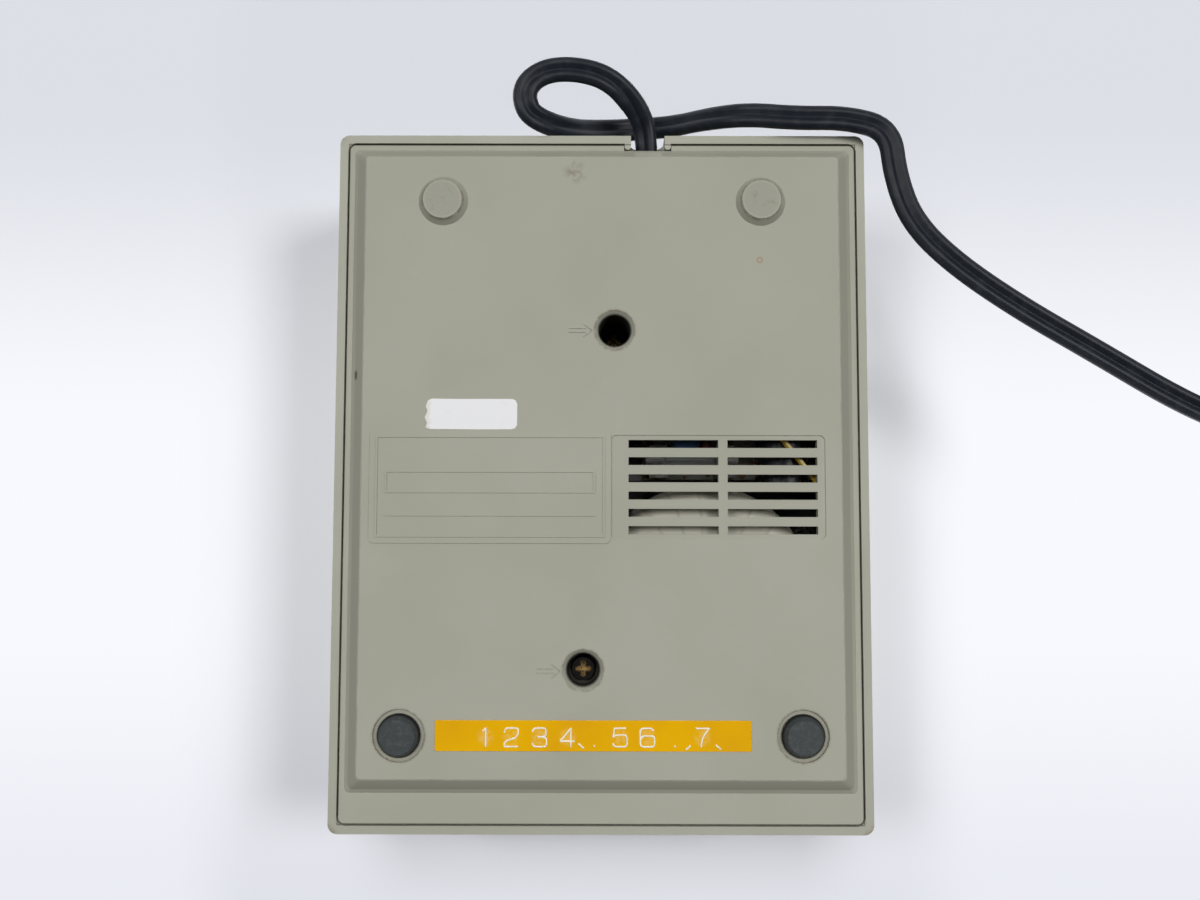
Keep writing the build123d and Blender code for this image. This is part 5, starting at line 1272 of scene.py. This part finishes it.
def stickerPaper(look):
    material, tap = newMaterial("sticker_paper")
    place = placeOn(tap)
    x, = axesOf(place, "X")
    soil = patches(place, *look["soil"]) * look["soilShare"]
    torn = (x + (noise(place, *look["tornNoise"]) - 0.5) * look["tornRagged"]).above(*look["tornFrom"])
    colour = soil.most(torn * look["tornShare"]).tint(look["paper"], look["aged"])
    paint(tap, colour, look["roughness"] + soil * look["soilRougher"], noise(place, *look["grain"]),
          look["grainDepth"])
    return material


sticker = platePiece("paper_sticker", stickerShape["outline"][::-1], stickerShape["thickness"],
                     stickerShape["edgeRounding"])
sticker.data.materials.append(stickerPaper(stickerShape))
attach(sticker, "box")


# moulded outline arrows that point to the two screw wells, their plastic painted darker than the housing as
# painted shade along the raised lines

arrowShape = {
    "tips": {"rear": (2.05, 30.63), "front": (8.40, -39.64)},
    "reach": 4.75,
    "headReach": 1.7,
    "headHalf": 1.35,
    "shaftStart": 0.75,
    "shaftHalf": 0.42,
    "line": 0.20,
    "rise": 0.16,
    # painted shade: the arrow plastic is darker than the housing, to show the raised lines
    "colour": (0.300, 0.298, 0.240),
    "light": (0.365, 0.365, 0.300),
    "patches": (1.4, 3, 0.4, 0.7),
    "roughness": 0.52,
    "roughScale": 0.3,
    "roughSpread": 0.06,
    "grain": 5.0,
    "grainDepth": 0.01,
}


def raisedLine(mesh, start, end, shape):
    across = (Vector(end) - Vector(start)).normalized().orthogonal() * shape["line"] / 2
    low, high = plateauFace - shape["rise"], plateauFace + stuckIn
    plan = [Vector(start) + across, Vector(end) + across, Vector(end) - across, Vector(start) - across]
    lower, upper = ([mesh.verts.new((p.x * mm, p.y * mm, z * mm)) for p in plan] for z in (low, high))
    mesh.faces.new(lower)
    mesh.faces.new(upper[::-1])
    wallBetween(mesh, lower, upper)


def outlineArrow(name, tip, shape, material):
    mesh = bmesh.new()
    x, y = tip
    for side in (-1, 1):
        raisedLine(mesh, tip, (x + shape["headReach"], y + side * shape["headHalf"]), shape)
        shaft = y + side * shape["shaftHalf"]
        raisedLine(mesh, (x + shape["headReach"] * shape["shaftStart"], shaft), (x + shape["reach"], shaft),
                   shape)
    bmesh.ops.recalc_face_normals(mesh, faces=mesh.faces)
    arrow = meshPiece(name, mesh, smooth=False)
    arrow.data.materials.append(material)
    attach(arrow, "box")


def arrowPlastic(look):
    material, tap = newMaterial("arrow_shaded_plastic")
    place = placeOn(tap)
    # painted shade along the raised lines
    colour = patches(place, *look["patches"]).tint(look["colour"], look["light"])
    rough = look["roughness"] + noise(place, look["roughScale"]) * look["roughSpread"]
    paint(tap, colour, rough, noise(place, look["grain"]), look["grainDepth"])
    return material


arrowMaterial = arrowPlastic(arrowShape)
for end, tip in arrowShape["tips"].items():
    outlineArrow(f"{end}_well_arrow", tip, arrowShape, arrowMaterial)
print("sticker and arrows on")


# key springs: wound wire in place of each key's spring

springShape = {
    "places": {"start": (16.0, -57.0), "stop": (-16.0, -57.0)},
    "bottom": 28.3,
    "top": 43.4,
    "meanRadius": 2.88,
    "wire": 0.40,
    "wireSmoothness": 2,
    "turns": 8,
    "pointsPerTurn": 14,
    "closedEnds": 0.225,  # how much closer the end turns lie, from 0 to 1
    "pressedShare": 0.78,
}


def windSpring(key, spot, shape):
    count = shape["turns"] * shape["pointsPerTurn"]
    low, high = shape["bottom"] + shape["wire"], shape["top"] - shape["wire"]
    middle = Vector((*spot, 0))
    run = []
    for step in range(count + 1):
        share = step / count
        rise = share - math.sin(4 * math.pi * share) / (2 * math.pi) * shape["closedEnds"]
        run.append(onCircle(middle, shape["meanRadius"], 2 * math.pi * shape["turns"] * share,
                            low + (high - low) * rise))
    wound = wirePiece(f"{key}_key_coil", [run], shape["wire"], shape["wireSmoothness"],
                      nodes[f"{key}_spring"].data.materials[0])
    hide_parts(f"{key}_spring")
    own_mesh(wound)


for key, spot in springShape["places"].items():
    windSpring(key, spot, springShape)
print("key springs wound")


# the solids that stay visible get smooth faces

replaced = ("power_cord", "cord_coil", "start_spring", "stop_spring")
sharpFrom = 35
for name in nodes:
    if name not in replaced:
        smoothFaces(nodes[name].data, sharpFrom)
print("solids smoothed")
